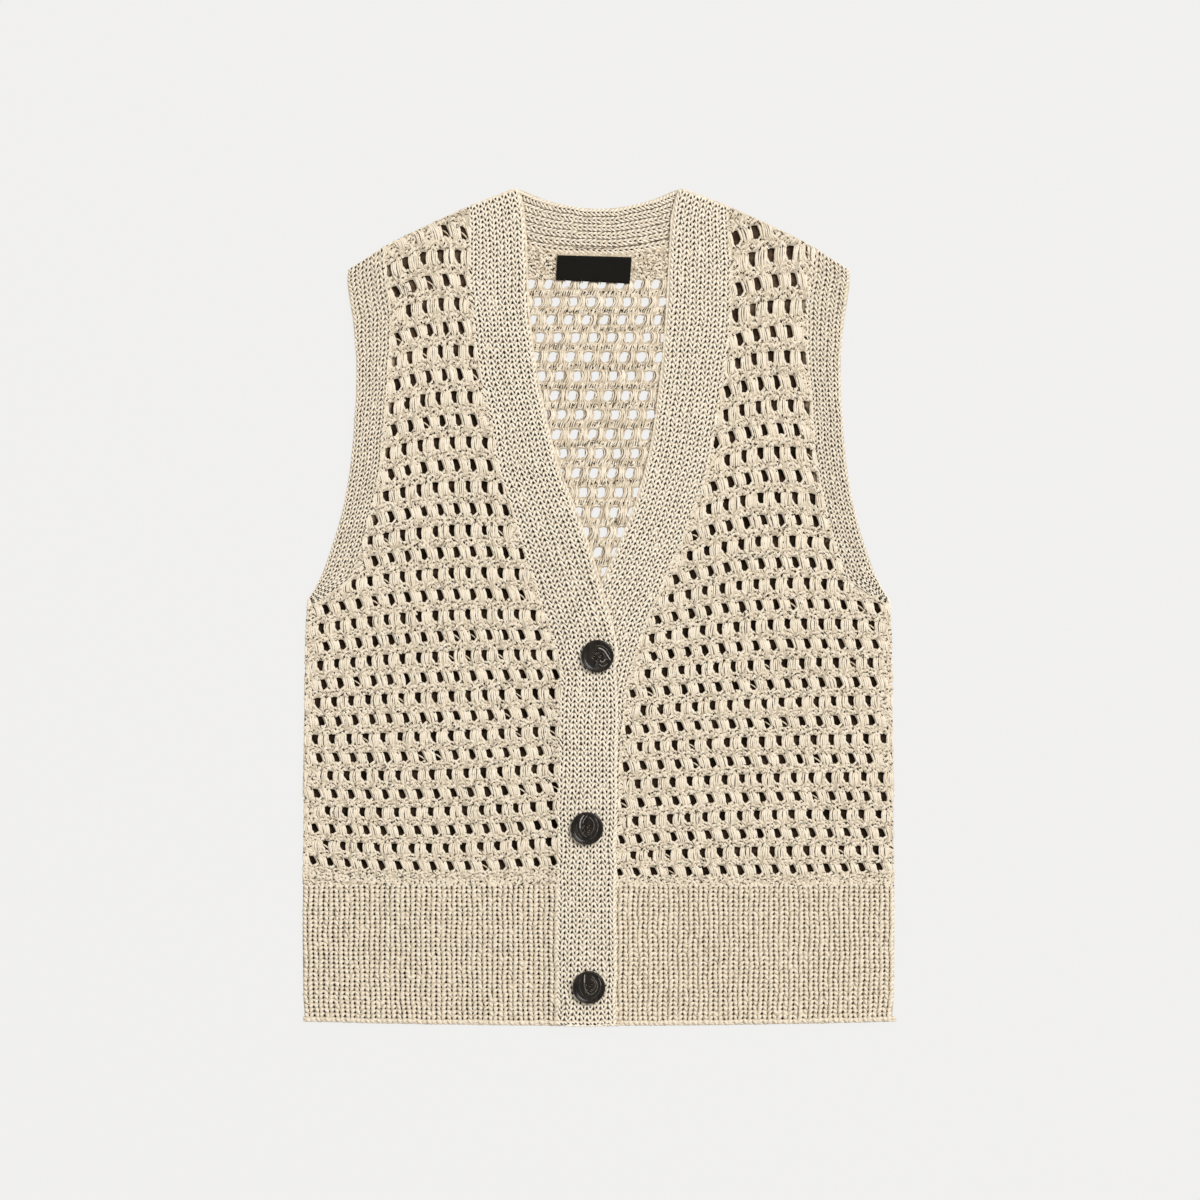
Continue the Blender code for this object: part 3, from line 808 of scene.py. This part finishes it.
# An opening's eight points, in hundredths of a cell from its middle, clockwise from its upper left.
holeCorners = ((-1, 1), (0, 1), (1, 1), (1, 0), (1, -1), (0, -1), (-1, -1), (-1, 0))
kite = ((-23, 31), (-8, 31), (6, 28), (18, 4), (24, -12), (4, -33), (-16, -22), (-18, 2))
tee = ((-22, 27), (-2, 32), (23, 28), (21, 0), (20, -20), (10, -33), (-2, -16), (-17, 6))
teardrop = ((-21, 21), (5, 28), (26, 21), (26, 2), (13, -20), (-5, -28), (-21, -21), (-27, 0))


def cellsNear(warp, outline, columns, rows, aside, above):
    # The cells on and just round a panel: column, row, x and height, and the panel's sides and top there.
    columns, rows = (values.ravel() for values in np.meshgrid(columns, rows))
    x, height = warp(columns, rows)
    low, high = sidesAt(outline, height)
    top = topAt(outline, x)
    near = (x > low - 15) & (x < high + aside) & (height > cloth["hemTop"] - 12) & (height < top + above)
    return np.stack([columns, rows, x, height, low, high, top])[:, near]


def groundSheet(name, warp, spots, kinds, fit, tones, mat):
    # One sheet of cells, each kind with its own opening, and its thickness.
    cells = []
    for hole, chosen in kinds:
        cell = netCell(hole)
        px, up = warp(*(spots[:, chosen, None] + cell["points"].T[:2, None]))
        cells.append((cell, np.stack(fit(px, up), -1)))
    points, faces = joined(cells)
    mesh = meshOf(name + "_ground", mat, points, faces, tones(points[:, 0], points[:, 1]))
    bm = bmesh.new()
    bm.from_mesh(mesh)
    bmesh.ops.remove_doubles(bm, verts=bm.verts, dist=0.00012)
    slivers = [f for f in bm.faces if f.calc_area() < 3e-8]
    bmesh.ops.delete(bm, geom=slivers, context="FACES")
    loose = [v for v in bm.verts if not v.link_faces]
    bmesh.ops.delete(bm, geom=loose, context="VERTS")
    bm.to_mesh(mesh)
    bm.free()
    settled(name + "_ground", mesh, replaces=name, thick=net["thick"])


def frontPanel(side, layer):
    name, warp = "front_" + side, frontWarp(side)
    outline = outlineOf(name, (side == "left", side == "right"))
    near = cellsNear(warp, outline, np.arange(-13.0, 14.0), np.arange(-2.0, 34.0), 8, 12)
    spots, (rows, x, height, low, high, top) = near[:2], near[1:]
    # a cell is open where its middle is inside the seams, and clear of the free side
    room = net["holeRoom"]
    sideRoom = np.where(height < cloth["sideTop"], room["side"], room["armhole"])
    lowRoom, highRoom = (sideRoom, room["seam"]) if side == "right" else (room["seam"], sideRoom)
    inRows, leaning = (rows >= 0) & (rows <= net["lastRow"]), rows % 2 == 0
    pierced = (x > low + lowRoom) & (x < high - highRoom) & inRows & (height < top - room["top"])

    def fit(px, up):
        up = np.maximum(up, cloth["hemTop"] - 0.8)
        px = np.clip(px, *sidesAt(outline, up, 1.0))
        up = np.minimum(up, topAt(outline, px) - 1.0)
        return px, up, floorOf(layer, px, up) + net["level"]

    kinds = ((kite, pierced & leaning), (tee, pierced & ~leaning), ((), ~pierced))
    # the ground's tone paints it darker than the yarn: painted shade between the strands
    groundSheet(name, warp, spots, kinds, fit, lambda px, up: rib["groundTone"] + 0 * px, lightGround)

    panel = {"outline": outline, "warp": warp, "squash": 0.9,
             "floor": lambda px, up: floorOf(layer, px, up)}
    lean, stand = spots[:, inRows & leaning], spots[:, inRows & ~leaning]
    sets = []
    # the loops, then their painted shade: dark strands in the gaps and thin dark lines
    for leaves, uprights, look in ((leaningLoops, uprightLoops, {}),
                                   (leaningGapShade, uprightGapShade, {"kept": 0.7, **gapShadeLook}),
                                   (leaningLineShade, uprightLineShade, {"kept": 0.85, **lineShadeLook})):
        sets += [laidOut(panel, leaves, lean, **look), laidOut(panel, uprights, stand, **look)]
    sets += knotsAt(panel, spots, net["knots"])
    sets += knotsAt(panel, spots[:, rows == 0], ((0.28, -0.9), (0.78, -0.92)))
    sets += knotsAt(panel, spots[:, ~inRows], net["plainKnots"])
    sets += knotsAt(panel, spots[:, inRows & ~pierced], ((0.0, 0.15), (0.04, -0.17)))
    crossed = pierced & (chance.random(len(rows)) < net["crossed"])
    stray = strandTable((-20, 10, 3, -2, 20, -16, 1.1, 2.2))
    sets.append(laidOut(panel, stray, spots[:, crossed], tube=shortTube, level=0.45))
    sets.append(shoulderOf(name, layer))
    sets += sideRims(outline, warp, side, layer)
    piece(name + "_yarn", knitYarn, sets)


def knotsAt(panel, spots, places):
    # Curls, with painted shade: a dark dot in each, and dark marks and thin lines between them.
    sets = []
    for place, hand in zip(places, (1, -1)):
        handed = curl * (hand, 1, hand, 1, hand, 1, 1, 1)
        sets.append(laidOut(panel, handed, spots, place, tube=shortTube))
        for dots, kept, look in ((curlDotShade, 0.7, gapShadeLook), (speckShade, 0.45, gapShadeLook),
                                 (knotLineShade, 0.8, lineShadeLook)):
            sets.append(laidOut(panel, dots, spots, place, kept, **look))
    return sets


def sideRims(outline, warp, side, layer):
    # The free side edge: two cords that swell at each band of knots and draw in at the holes.
    sign = -1 if side == "right" else 1
    numbers = np.arange(-1.5, 18, 0.1)
    up = warp(np.full(len(numbers), net["sideColumn"] * sign), numbers)[1]
    keep = (up > cloth["hemTop"] + 0.5) & (up < cloth["sideTop"] - 3)
    numbers, up = numbers[keep], up[keep]
    low, high = sidesAt(outline, up)
    rim = low if side == "right" else high
    swell = 0.45 * np.cos(2 * pi * numbers)
    rims = []
    for inset, lift, width in ((1.5, 1.2, 2.3), (3.5, 2.2, 2.2)):
        line = np.stack([rim - sign * (inset + swell), up], 1)
        rims.append(edging(line, layer, 3.3, width, lift))
    return rims


frontPanel("right", "over")
frontPanel("left", "front")
print("fronts ready")


# The back: one openwork sheet, open only where it shows in the V
back = {
    "rowHeights": np.array([(-2, 93.5), (0, 121.0), (16, 341.6), (20, 401.6), (24, 459.75), (28, 517.9),
                            (31, 558.0), (37, 640.0)]),
    "cell": 13.4,
    "columnsAt": np.array([(-2, 13.0), (16, 13.6), (31, 2.6), (37, -1.9)]),  # row number, x of a column
    "evenShift": 4.65,  # mm that its even rows are moved aside
    "lastRow": 31,  # its last row of holes
    "holeRoom": 6.0,  # from its upper edge to a hole's middle
    "behind": 14.0,  # its open part goes on this far behind the bands
    "shownFrom": 341.0,  # and starts at this height
    "middle": 1.5,  # height of its ground's middle
}
# Seen from inside, the holes are drops with slanted strands between them, and ticks between the rows.
dropLoops = strandTable(
    (24, 27, 34, 2, 15, -30, 1.5, 2.1),
    (78, 27, 67, 2, 80, -28, 1.5, 2.1),
    (39, 34, 45, 2, 28, -36, 1.8, 2.7),
    (52, 34, 54, 0, 44, -36, 1.8, 2.8),
    (65, 34, 63, 2, 60, -36, 1.7, 2.7),
    (-22, 30, 2, 37, 25, 31, 1.4, 2.1),
    (-20, -28, -8, -36, 8, -32, 1.4, 2.1))
# Painted shade: thin dark lines between the strands of a drop, and between the ticks.
dropLineShade = strandTable(
    (33, 27, 40, 2, 22, -30, 0.55, 3.0),
    (46, 27, 51, 1, 38, -29, 0.55, 3.1),
    (59, 26, 59, 1, 55, -27, 0.55, 3.0),
    (73, 26, 66, 2, 72, -26, 0.5, 2.9))
tickLineShade = strandTable(*((step, -15, step + 5, 2, step + 12, 17, 0.6, 3.0)
                          for step in (-42, -28, -15, -2, 11, 24, 37)))
slantTicks = strandTable(*((step, -20, step + 5, 0, step + 13, 20, 1.7, 2.4)
                           for step in (-48, -35, -21, -8, 5, 18, 31, 43)))
# Painted shade: dark flat strands in the gaps between the rows.
dropGapShade = strandTable(
    (-14, 10, -12, 5, -11, 0, 1.0, 3.3),
    (16, 9, 18, 5, 19, 1, 1.0, 3.3),
    (36, -5, 39, 1, 42, 7, 0.9, 3.3),
    (-38, 2, -36, -4, -35, -10, 0.9, 3.3),
    (-2, -15, 2, -8, 5, -2, 0.8, 3.3))


def backWarp(column, row):
    numbers = np.arange(-3, 40)
    own = np.interp(numbers, *back["columnsAt"].T) + np.where(numbers % 2, 0, back["evenShift"])
    return stepped(row, numbers, own) + column * back["cell"], np.interp(row, *back["rowHeights"].T)


def backPanel():
    outline = outlineOf("back", (False, False))
    near = cellsNear(backWarp, outline, np.arange(-19.0, 19.0), np.arange(-1.0, 37.0), 7, 8)
    spots, (rows, x, height), top = near[:2], near[1:4], near[6]
    # what shows: between the free edges of the two bands, above where they cross
    inV = (x > bandEdge("right", height) - back["behind"]) & (x < bandEdge("left", height) + back["behind"])
    inV &= height > back["shownFrom"]
    last = back["lastRow"]
    pierced = inV & (height < top - back["holeRoom"]) & (rows <= last)

    def fit(px, up):
        up = np.maximum(up, cloth["hemTop"] + 0.4)
        low, high = sidesAt(outline, up)
        px = np.clip(px, low + 0.9, high - 0.9)
        room = np.where(abs(px) < 68, 1.3, -0.6)  # it runs a little under the neckband
        return px, np.minimum(up, topAt(outline, px) + room), back["middle"] + 0 * px

    def tones(px, up):
        # painted shade: dark under the fronts, where the inside of the vest is in shade, lighter in the V
        # and towards the shoulders, light at the free edges
        inside = smoothStep((px - bandEdge("right", up) + 8) / 6)
        inside = inside * smoothStep((bandEdge("left", up) - px + 8) / 6)
        low, high = sidesAt(outline, up)
        inset = np.minimum(np.minimum(px - low, high - px), topAt(outline, px) - up)
        rim = 0.62 * (1 - smoothStep((inset - 1.4) / 2.2))
        shade = 0.55 * inside * (up > 335) + 0.09 * (1 - inside) * smoothStep((up - 430) / 130)
        return np.maximum(shade, rim)

    groundSheet("back", backWarp, spots, ((teardrop, pierced), ((), ~pierced)), fit, tones, shadeGround)

    def pressed(px, up):
        # the yarn lies lower under the label
        under = smoothStep((px + 34) / 3) * smoothStep((28 - px) / 3)
        return 0.5 - 1.3 * under * smoothStep((up - 557) / 3) * smoothStep((583 - up) / 3)

    panel = {"outline": outline, "warp": backWarp, "squash": 0.85, "floor": pressed}
    shown, between = spots[:, inV & (rows <= last)], spots[:, inV & (rows < last)]
    # pale strands, and dim flat strands as painted shade in the gaps
    pale, dim = {"level": 0.59, "spread": 0.1}, {**gapShadeLook, "level": 0.0, "spread": 0.1}
    middle = {"around": (0.0, 0.5)}
    sets = [laidOut(panel, dropLoops, shown, **pale),
            laidOut(panel, slantTicks, between, **middle, tube=shortTube, **pale),
            laidOut(panel, dropLineShade, shown, kept=0.8, **lineShadeLook),
            laidOut(panel, tickLineShade, between, **middle, kept=0.8, **lineShadeLook),
            laidOut(panel, dropGapShade, between, **middle, kept=0.6, **dim)]
    sets += knotsAt(panel, spots[:, inV & (rows >= last)], net["knots"])
    sets += knotsAt(panel, spots[:, inV & (rows > last)], net["plainKnots"])
    piece("back_yarn", knitYarn, sets)

    # the underside: fewer, wider strands, turned over
    outside = {"outline": outline, "warp": backWarp, "squash": -0.56,
               "floor": lambda px, up: 2.3 + 0 * px}
    leaning, few = rows % 2 == 1, [0, 2, 3, 4]
    sets = []
    for table, chosen, place in ((leaningLoops[few], spots[:, leaning], None),
                                 (uprightLoops[few], spots[:, ~leaning], None),
                                 (curl, spots, net["knots"][0]), (curl, spots, net["knots"][1])):
        turned = table * (-1, 1, -1, 1, -1, 1, 1.2, 1)
        if not place:
            turned[:, 0:6:2] += 1
        sets.append(laidOut(outside, turned, chosen, place, tube=roughTube, thick=0.6, under=True))
    piece("back_outside_yarn", knitYarn, sets, flip=True)


backPanel()
print("back ready")


# The label: a short length of woven tape, tacked down along its lower edge
label = {
    "corners": [(-30.9, 579.8), (24.9, 578.3), (23.5, 558.3), (-31.9, 561.1)],  # from the upper left round
    "floor": 3.35,
    "thick": 0.5,
    "tacksAt": (0.117, 0.352, 0.596, 0.82),  # along its lower edge
}


wovenTape, tree = newMaterial("wovenTape", 0.8, 0.08, 0.05)
colourBy(tree, noise(tree, 90.0, 3.0), [(0.0, 0.0065, 0.0058, 0.0045), (1.0, 0.0105, 0.0095, 0.0075)])
threads = node(tree, "TexWave", {0: placesIn(tree), 1: 900.0}, wave_type="BANDS", bands_direction="Y")
bumpFrom(tree, threads["Fac"], 0.35, 0.0002)


def onLabel(across, up):
    # across and up run from 0 to 1 over the label
    topLeft, topRight, lowRight, lowLeft = (np.array(corner) for corner in label["corners"])
    upper = topLeft + (topRight - topLeft) * across
    lower = lowLeft + (lowRight - lowLeft) * across
    return lower + (upper - lower) * up


def labelPiece():
    bm = bmesh.new()
    bmesh.ops.create_grid(bm, x_segments=28, y_segments=10, size=0.5)
    for vert in bm.verts:
        across, up = vert.co.x + 0.5, vert.co.y + 0.5
        x, height = onLabel(across, up)
        sag = 0.10 * sin(across * 9 + up * 2) + 0.12 * sin(across * 4.3 + 1)
        z = label["floor"] + label["thick"] / 2 + 0.22 + sag * (0.4 + up)
        vert.co = Vector((x, height - cloth["middle"], z)) * 0.001
    mesh = meshFrom("label_tape", wovenTape, bm)
    mesh.shade_smooth()
    settled("label_tape", mesh, replaces="label", thick=label["thick"])
    paths = []
    for spot in label["tacksAt"]:
        x, height = onLabel(spot, 0.0)
        paths.append([(x - 0.5, height + 1.2, 4.2), (x, height - 0.1, 4.4), (x + 0.4, height - 1.4, 3.2)])
    thread = rolled(shortTube, np.array(paths), np.full(len(paths), 0.7), toneOf(len(paths), 0.04), 0.9)
    piece("label_tacks", ribYarn, [thread])


labelPiece()
print("label ready")


# The buttons: turned discs with a thin rim, four holes with thread, and a carved swirl
button = {
    "floor": 9.9,
    "radius": 12.5,
    "profile": [  # radius and z
        (6.2, 2.84), (8.6, 2.98), (10.0, 3.15), (10.7, 3.5), (11.1, 3.86), (11.6, 3.9), (12.15, 3.5),
        (12.45, 2.7), (12.5, 2.0), (12.2, 1.2), (11.2, 0.5), (9.5, 0.0), (6.2, 0.0)],
    "lines": (3.8, 2.75, 0.95, 0.0),  # the face plate's grid: the holes lie between 2.75 and 0.95
    "holeAt": 1.85,  # and their middles lie this far from its own
    "face": 2.8,
    "carvedAt": 2.92,  # height of the carved lines
}
# Each button is turned its own way, in degrees.
buttonTurns = {"top": -38.0, "middle": 4.0, "bottom": 6.0}
# The carved lines of each face: width in mm, tone, and points in hundredths of its radius.
swirls = {
    "top": [
        (1.05, 1.0, (5, 49), (26, 43), (42, 31), (55, 12), (66, -5), (80, -25)),
        (0.95, 0.8, (16, -24), (22, -33), (32, -34), (41, -27), (47, -16)),
        (0.9, 0.65, (9, -47), (22, -57), (36, -59), (50, -53), (60, -43)),
        (0.8, 0.4, (-10, 62), (20, 63), (46, 50), (64, 28), (76, 5)),
        (0.75, 0.3, (30, 20), (42, 4), (48, -10), (62, -24)),
        (0.7, 0.6, (2, 13), (5, 18), (9, 22)),
        (0.7, 0.35, (-2, -36), (-14, -64), (-25, -86)),
        (0.7, 0.45, (1, -38), (-4, -64), (-9, -88)),
        (0.7, 0.35, (5, -62), (8, -75), (11, -88)),
    ],
    "middle": [
        (1.05, 1.0, (-12, 86), (-27, 68), (-37, 47), (-42, 21), (-40, 0)),
        (0.8, 0.45, (-40, 0), (-33, -24), (-20, -40), (0, -50)),
        (0.9, 0.7, (2, 78), (-11, 62), (-20, 46), (-25, 30)),
        (0.85, 0.55, (12, 68), (30, 54), (41, 32), (43, 10), (36, -14)),
        (0.8, 0.45, (36, -14), (20, -34), (0, -38)),
        (0.8, 0.6, (28, 80), (50, 62), (64, 34), (66, 4), (58, -26)),
        (0.75, 0.35, (58, -26), (40, -52), (14, -66)),
        (0.75, 0.3, (-60, 30), (-62, 0), (-52, -32), (-30, -58)),
    ],
    "bottom": [
        (1.0, 0.95, (-26, 92), (-27, 60), (-28, 28)),
        (0.85, 0.6, (-28, 28), (-27, 2), (-14, -24), (6, -44)),
        (0.85, 0.6, (6, -44), (32, -32), (48, -8), (50, 16), (38, 44), (16, 68)),
        (0.8, 0.55, (10, 50), (28, 40), (38, 20), (34, -4), (10, -26)),
        (0.8, 0.7, (22, 84), (50, 66), (68, 36), (70, 8)),
        (0.75, 0.35, (70, 8), (62, -26), (42, -50), (16, -68)),
        (0.75, 0.3, (-52, 50), (-60, 20), (-52, -20), (-28, -56)),
    ],
}


horn, tree = newMaterial("horn", 0.24, 0.3)
stretched = node(tree, "Mapping", {"Vector": placesIn(tree), "Scale": (1.0, 0.25, 1.0)})[0]
grain = noise(tree, 420.0, 4.0, stretched)
colourBy(tree, grain, [(0.35, 0.0025, 0.0018, 0.0012), (0.8, 0.032, 0.022, 0.013)])
bumpFrom(tree, grain, 0.25, 0.0003)
# the carved lines show paler than the horn round them
carvedHorn, tree = newMaterial("carvedHorn", 0.35, 0.35)
carvedColours = [(0.1, 0.01, 0.007, 0.005), (0.6, 0.085, 0.073, 0.058), (1.15, 0.34, 0.32, 0.29)]
colourByTone(tree, carvedColours, 300.0, 0.2)


def plateOf(bm, z, up):
    # A square plate with four holes; its lines are moved so that the holes have their real size.
    verts = bmesh.ops.create_grid(bm, x_segments=6, y_segments=6, size=3)["verts"]
    for vert in verts:
        x, y = (int(np.sign(value)) * button["lines"][3 - abs(round(value))] for value in vert.co[:2])
        vert.co = Vector((x, y, z))
    faces = list(dict.fromkeys(f for v in verts for f in v.link_faces))
    middles = {face: face.calc_center_median()[:2] for face in faces}
    holes = [f for f in faces if all(abs(abs(value) - button["holeAt"]) < 0.1 for value in middles[f])]
    holes.sort(key=lambda face: tuple(round(value) for value in middles[face]))
    loops = [list(face.edges) for face in holes]
    bmesh.ops.delete(bm, geom=holes, context="FACES_ONLY")
    if not up:
        bmesh.ops.reverse_faces(bm, faces=[f for f in faces if f.is_valid])
    outer = [v for v in verts if max(abs(v.co.x), abs(v.co.y)) > button["lines"][0] - 0.1]
    return loops, list(dict.fromkeys(e for v in outer for e in v.link_edges if e.is_boundary))


def buttonBody(name, place, spin):
    bm = bmesh.new()
    upperHoles, upperRim = plateOf(bm, button["face"], True)
    lowerHoles, lowerRim = plateOf(bm, 0.0, False)
    for upper, lower in zip(upperHoles, lowerHoles):
        bmesh.ops.bridge_loops(bm, edges=upper + lower)
    points = [bm.verts.new((radius, 0, z)) for radius, z in button["profile"]]
    chain = [bm.edges.new(pair) for pair in zip(points, points[1:])]
    bmesh.ops.spin(bm, geom=points + chain, cent=(0, 0, 0), axis=(0, 0, 1), angle=2 * pi, steps=24,
                   use_merge=True, use_duplicate=False)
    inmost = button["profile"][0][0] + 0.01
    inner = [e for e in bm.edges if e.is_boundary and 6 < min(v.co.xy.length for v in e.verts) < inmost]
    bmesh.ops.bridge_loops(bm, edges=upperRim + [e for e in inner if e.verts[0].co.z > 1])
    bmesh.ops.bridge_loops(bm, edges=lowerRim + [e for e in inner if e.verts[0].co.z < 1])
    bmesh.ops.recalc_face_normals(bm, faces=bm.faces)
    bmesh.ops.rotate(bm, verts=bm.verts, matrix=spin)
    bmesh.ops.translate(bm, verts=bm.verts, vec=(place[0], place[1] - cloth["middle"], place[2]))
    bmesh.ops.scale(bm, verts=bm.verts, vec=(0.001, 0.001, 0.001))
    mesh = meshFrom("button_" + name + "_disc", horn, bm)
    mesh.shade_smooth()
    disc = settled("button_" + name + "_disc", mesh, replaces="button_" + name)
    smooth = disc.modifiers.new("smooth", "SUBSURF")
    smooth.levels = smooth.render_levels = 1


def buttonSwirl(name, place):
    paths, widths, tones = [], [], []
    for width, tone, *line in swirls[name]:
        line = np.array(line) / 100 * button["radius"]
        parts = len(line) - 1
        places = np.arange(parts)[:, None] + (-0.05, 0.5, 1.05)
        x, y = (np.interp(places, np.arange(parts + 1), values) for values in line.T)
        # the middle point is pushed out a little, so that the pieces join in a round line
        aside = np.gradient(np.gradient(line, axis=0), axis=0) if parts > 1 else 0 * line
        x[:, 1] -= aside[:-1, 0] * 0.15
        y[:, 1] -= aside[:-1, 1] * 0.15
        paths.append(np.stack([x, y, button["carvedAt"] + 0.02 * np.hypot(x, y)], -1))
        widths.append(np.full(parts, width))
        tones.append(np.full(parts, tone))
    paths, widths, tones = (np.concatenate(values) for values in (paths, widths, tones))
    carved = rolled(fineTube, paths + place, widths, tones, 0.5)
    piece("button_" + name + "_swirl", carvedHorn, [carved])


def buttonThread(name, place, spin):
    far = button["holeAt"]
    thread = []
    for x, y in ((far, far), (-far, far), (-far, -far), (far, -far)):
        ends = [(x * 1.22, y * 1.22, 1.7), (x, y, 2.2), (x * 0.78, y * 0.78, 1.8)]
        thread.append([spin @ Vector(point) for point in ends])
    sewn = rolled(fineTube, np.array(thread) + place, np.full(4, 0.9), toneOf(4, 0.1, 0.03), 1.0)
    piece("button_" + name + "_thread", ribYarn, [sewn])


for name, (middleX, middleUp) in buttonsAt.items():
    place = (middleX, middleUp, button["floor"])
    spin = Matrix.Rotation(radians(buttonTurns[name]), 3, "Z")
    buttonBody(name, place, spin)
    buttonSwirl(name, place)
    buttonThread(name, place, spin)
print("buttons ready")


# Floor, light and camera
studio = {
    "camera": (1.1, 4.9, 3006.0),  # mm, straight above
    "lens": 120.0,
    "floorGlow": 0.855,
    "keyFrom": (2.9, 2.9, 5.7),  # m
    "keySize": 3.2,
    "key": 390.0,
    "sky": 0.52,
}


def paperFloor():
    bm = bmesh.new()
    bmesh.ops.create_grid(bm, x_segments=1, y_segments=1, size=6)
    mat, tree = newMaterial("paper", 1.0, 0.0)
    shader = tree.nodes["Principled BSDF"].inputs
    shader["Base Color"].default_value = (0.02, 0.02, 0.02, 1)
    shader["Emission Color"].default_value = (1.0, 0.995, 0.985, 1)
    shader["Emission Strength"].default_value = studio["floorGlow"]
    floor = added("floor", meshFrom("floor", mat, bm))
    floor.location = (0, 0, -0.0006)


paperFloor()
key = bpy.data.lights.new("key", "AREA")
key.size = studio["keySize"]
key.energy = studio["key"]
keyObj = added("key", key)
keyObj.location = studio["keyFrom"]
keyObj.rotation_euler = (-keyObj.location).to_track_quat("-Z", "Y").to_euler()

world = bpy.data.worlds.new("room")
bpy.context.scene.world = world
world.use_nodes = True
sky = world.node_tree.nodes["Background"].inputs
sky[0].default_value = (1.0, 0.99, 0.975, 1)
sky[1].default_value = studio["sky"]

camera = bpy.data.cameras.new("camera")
camera.sensor_width = 36
camera.lens = studio["lens"]
camera.clip_end = 50
cameraObj = added("camera", camera)
cameraObj.location = Vector(studio["camera"]) * 0.001
bpy.context.scene.camera = cameraObj
bpy.context.scene.view_settings.view_transform = "Standard"


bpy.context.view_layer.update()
total = 0
for obj in made.values():
    count = sum(len(p.vertices) - 2 for p in obj.data.polygons)
    total += count
    print(obj.name, count)
print("triangles", total)
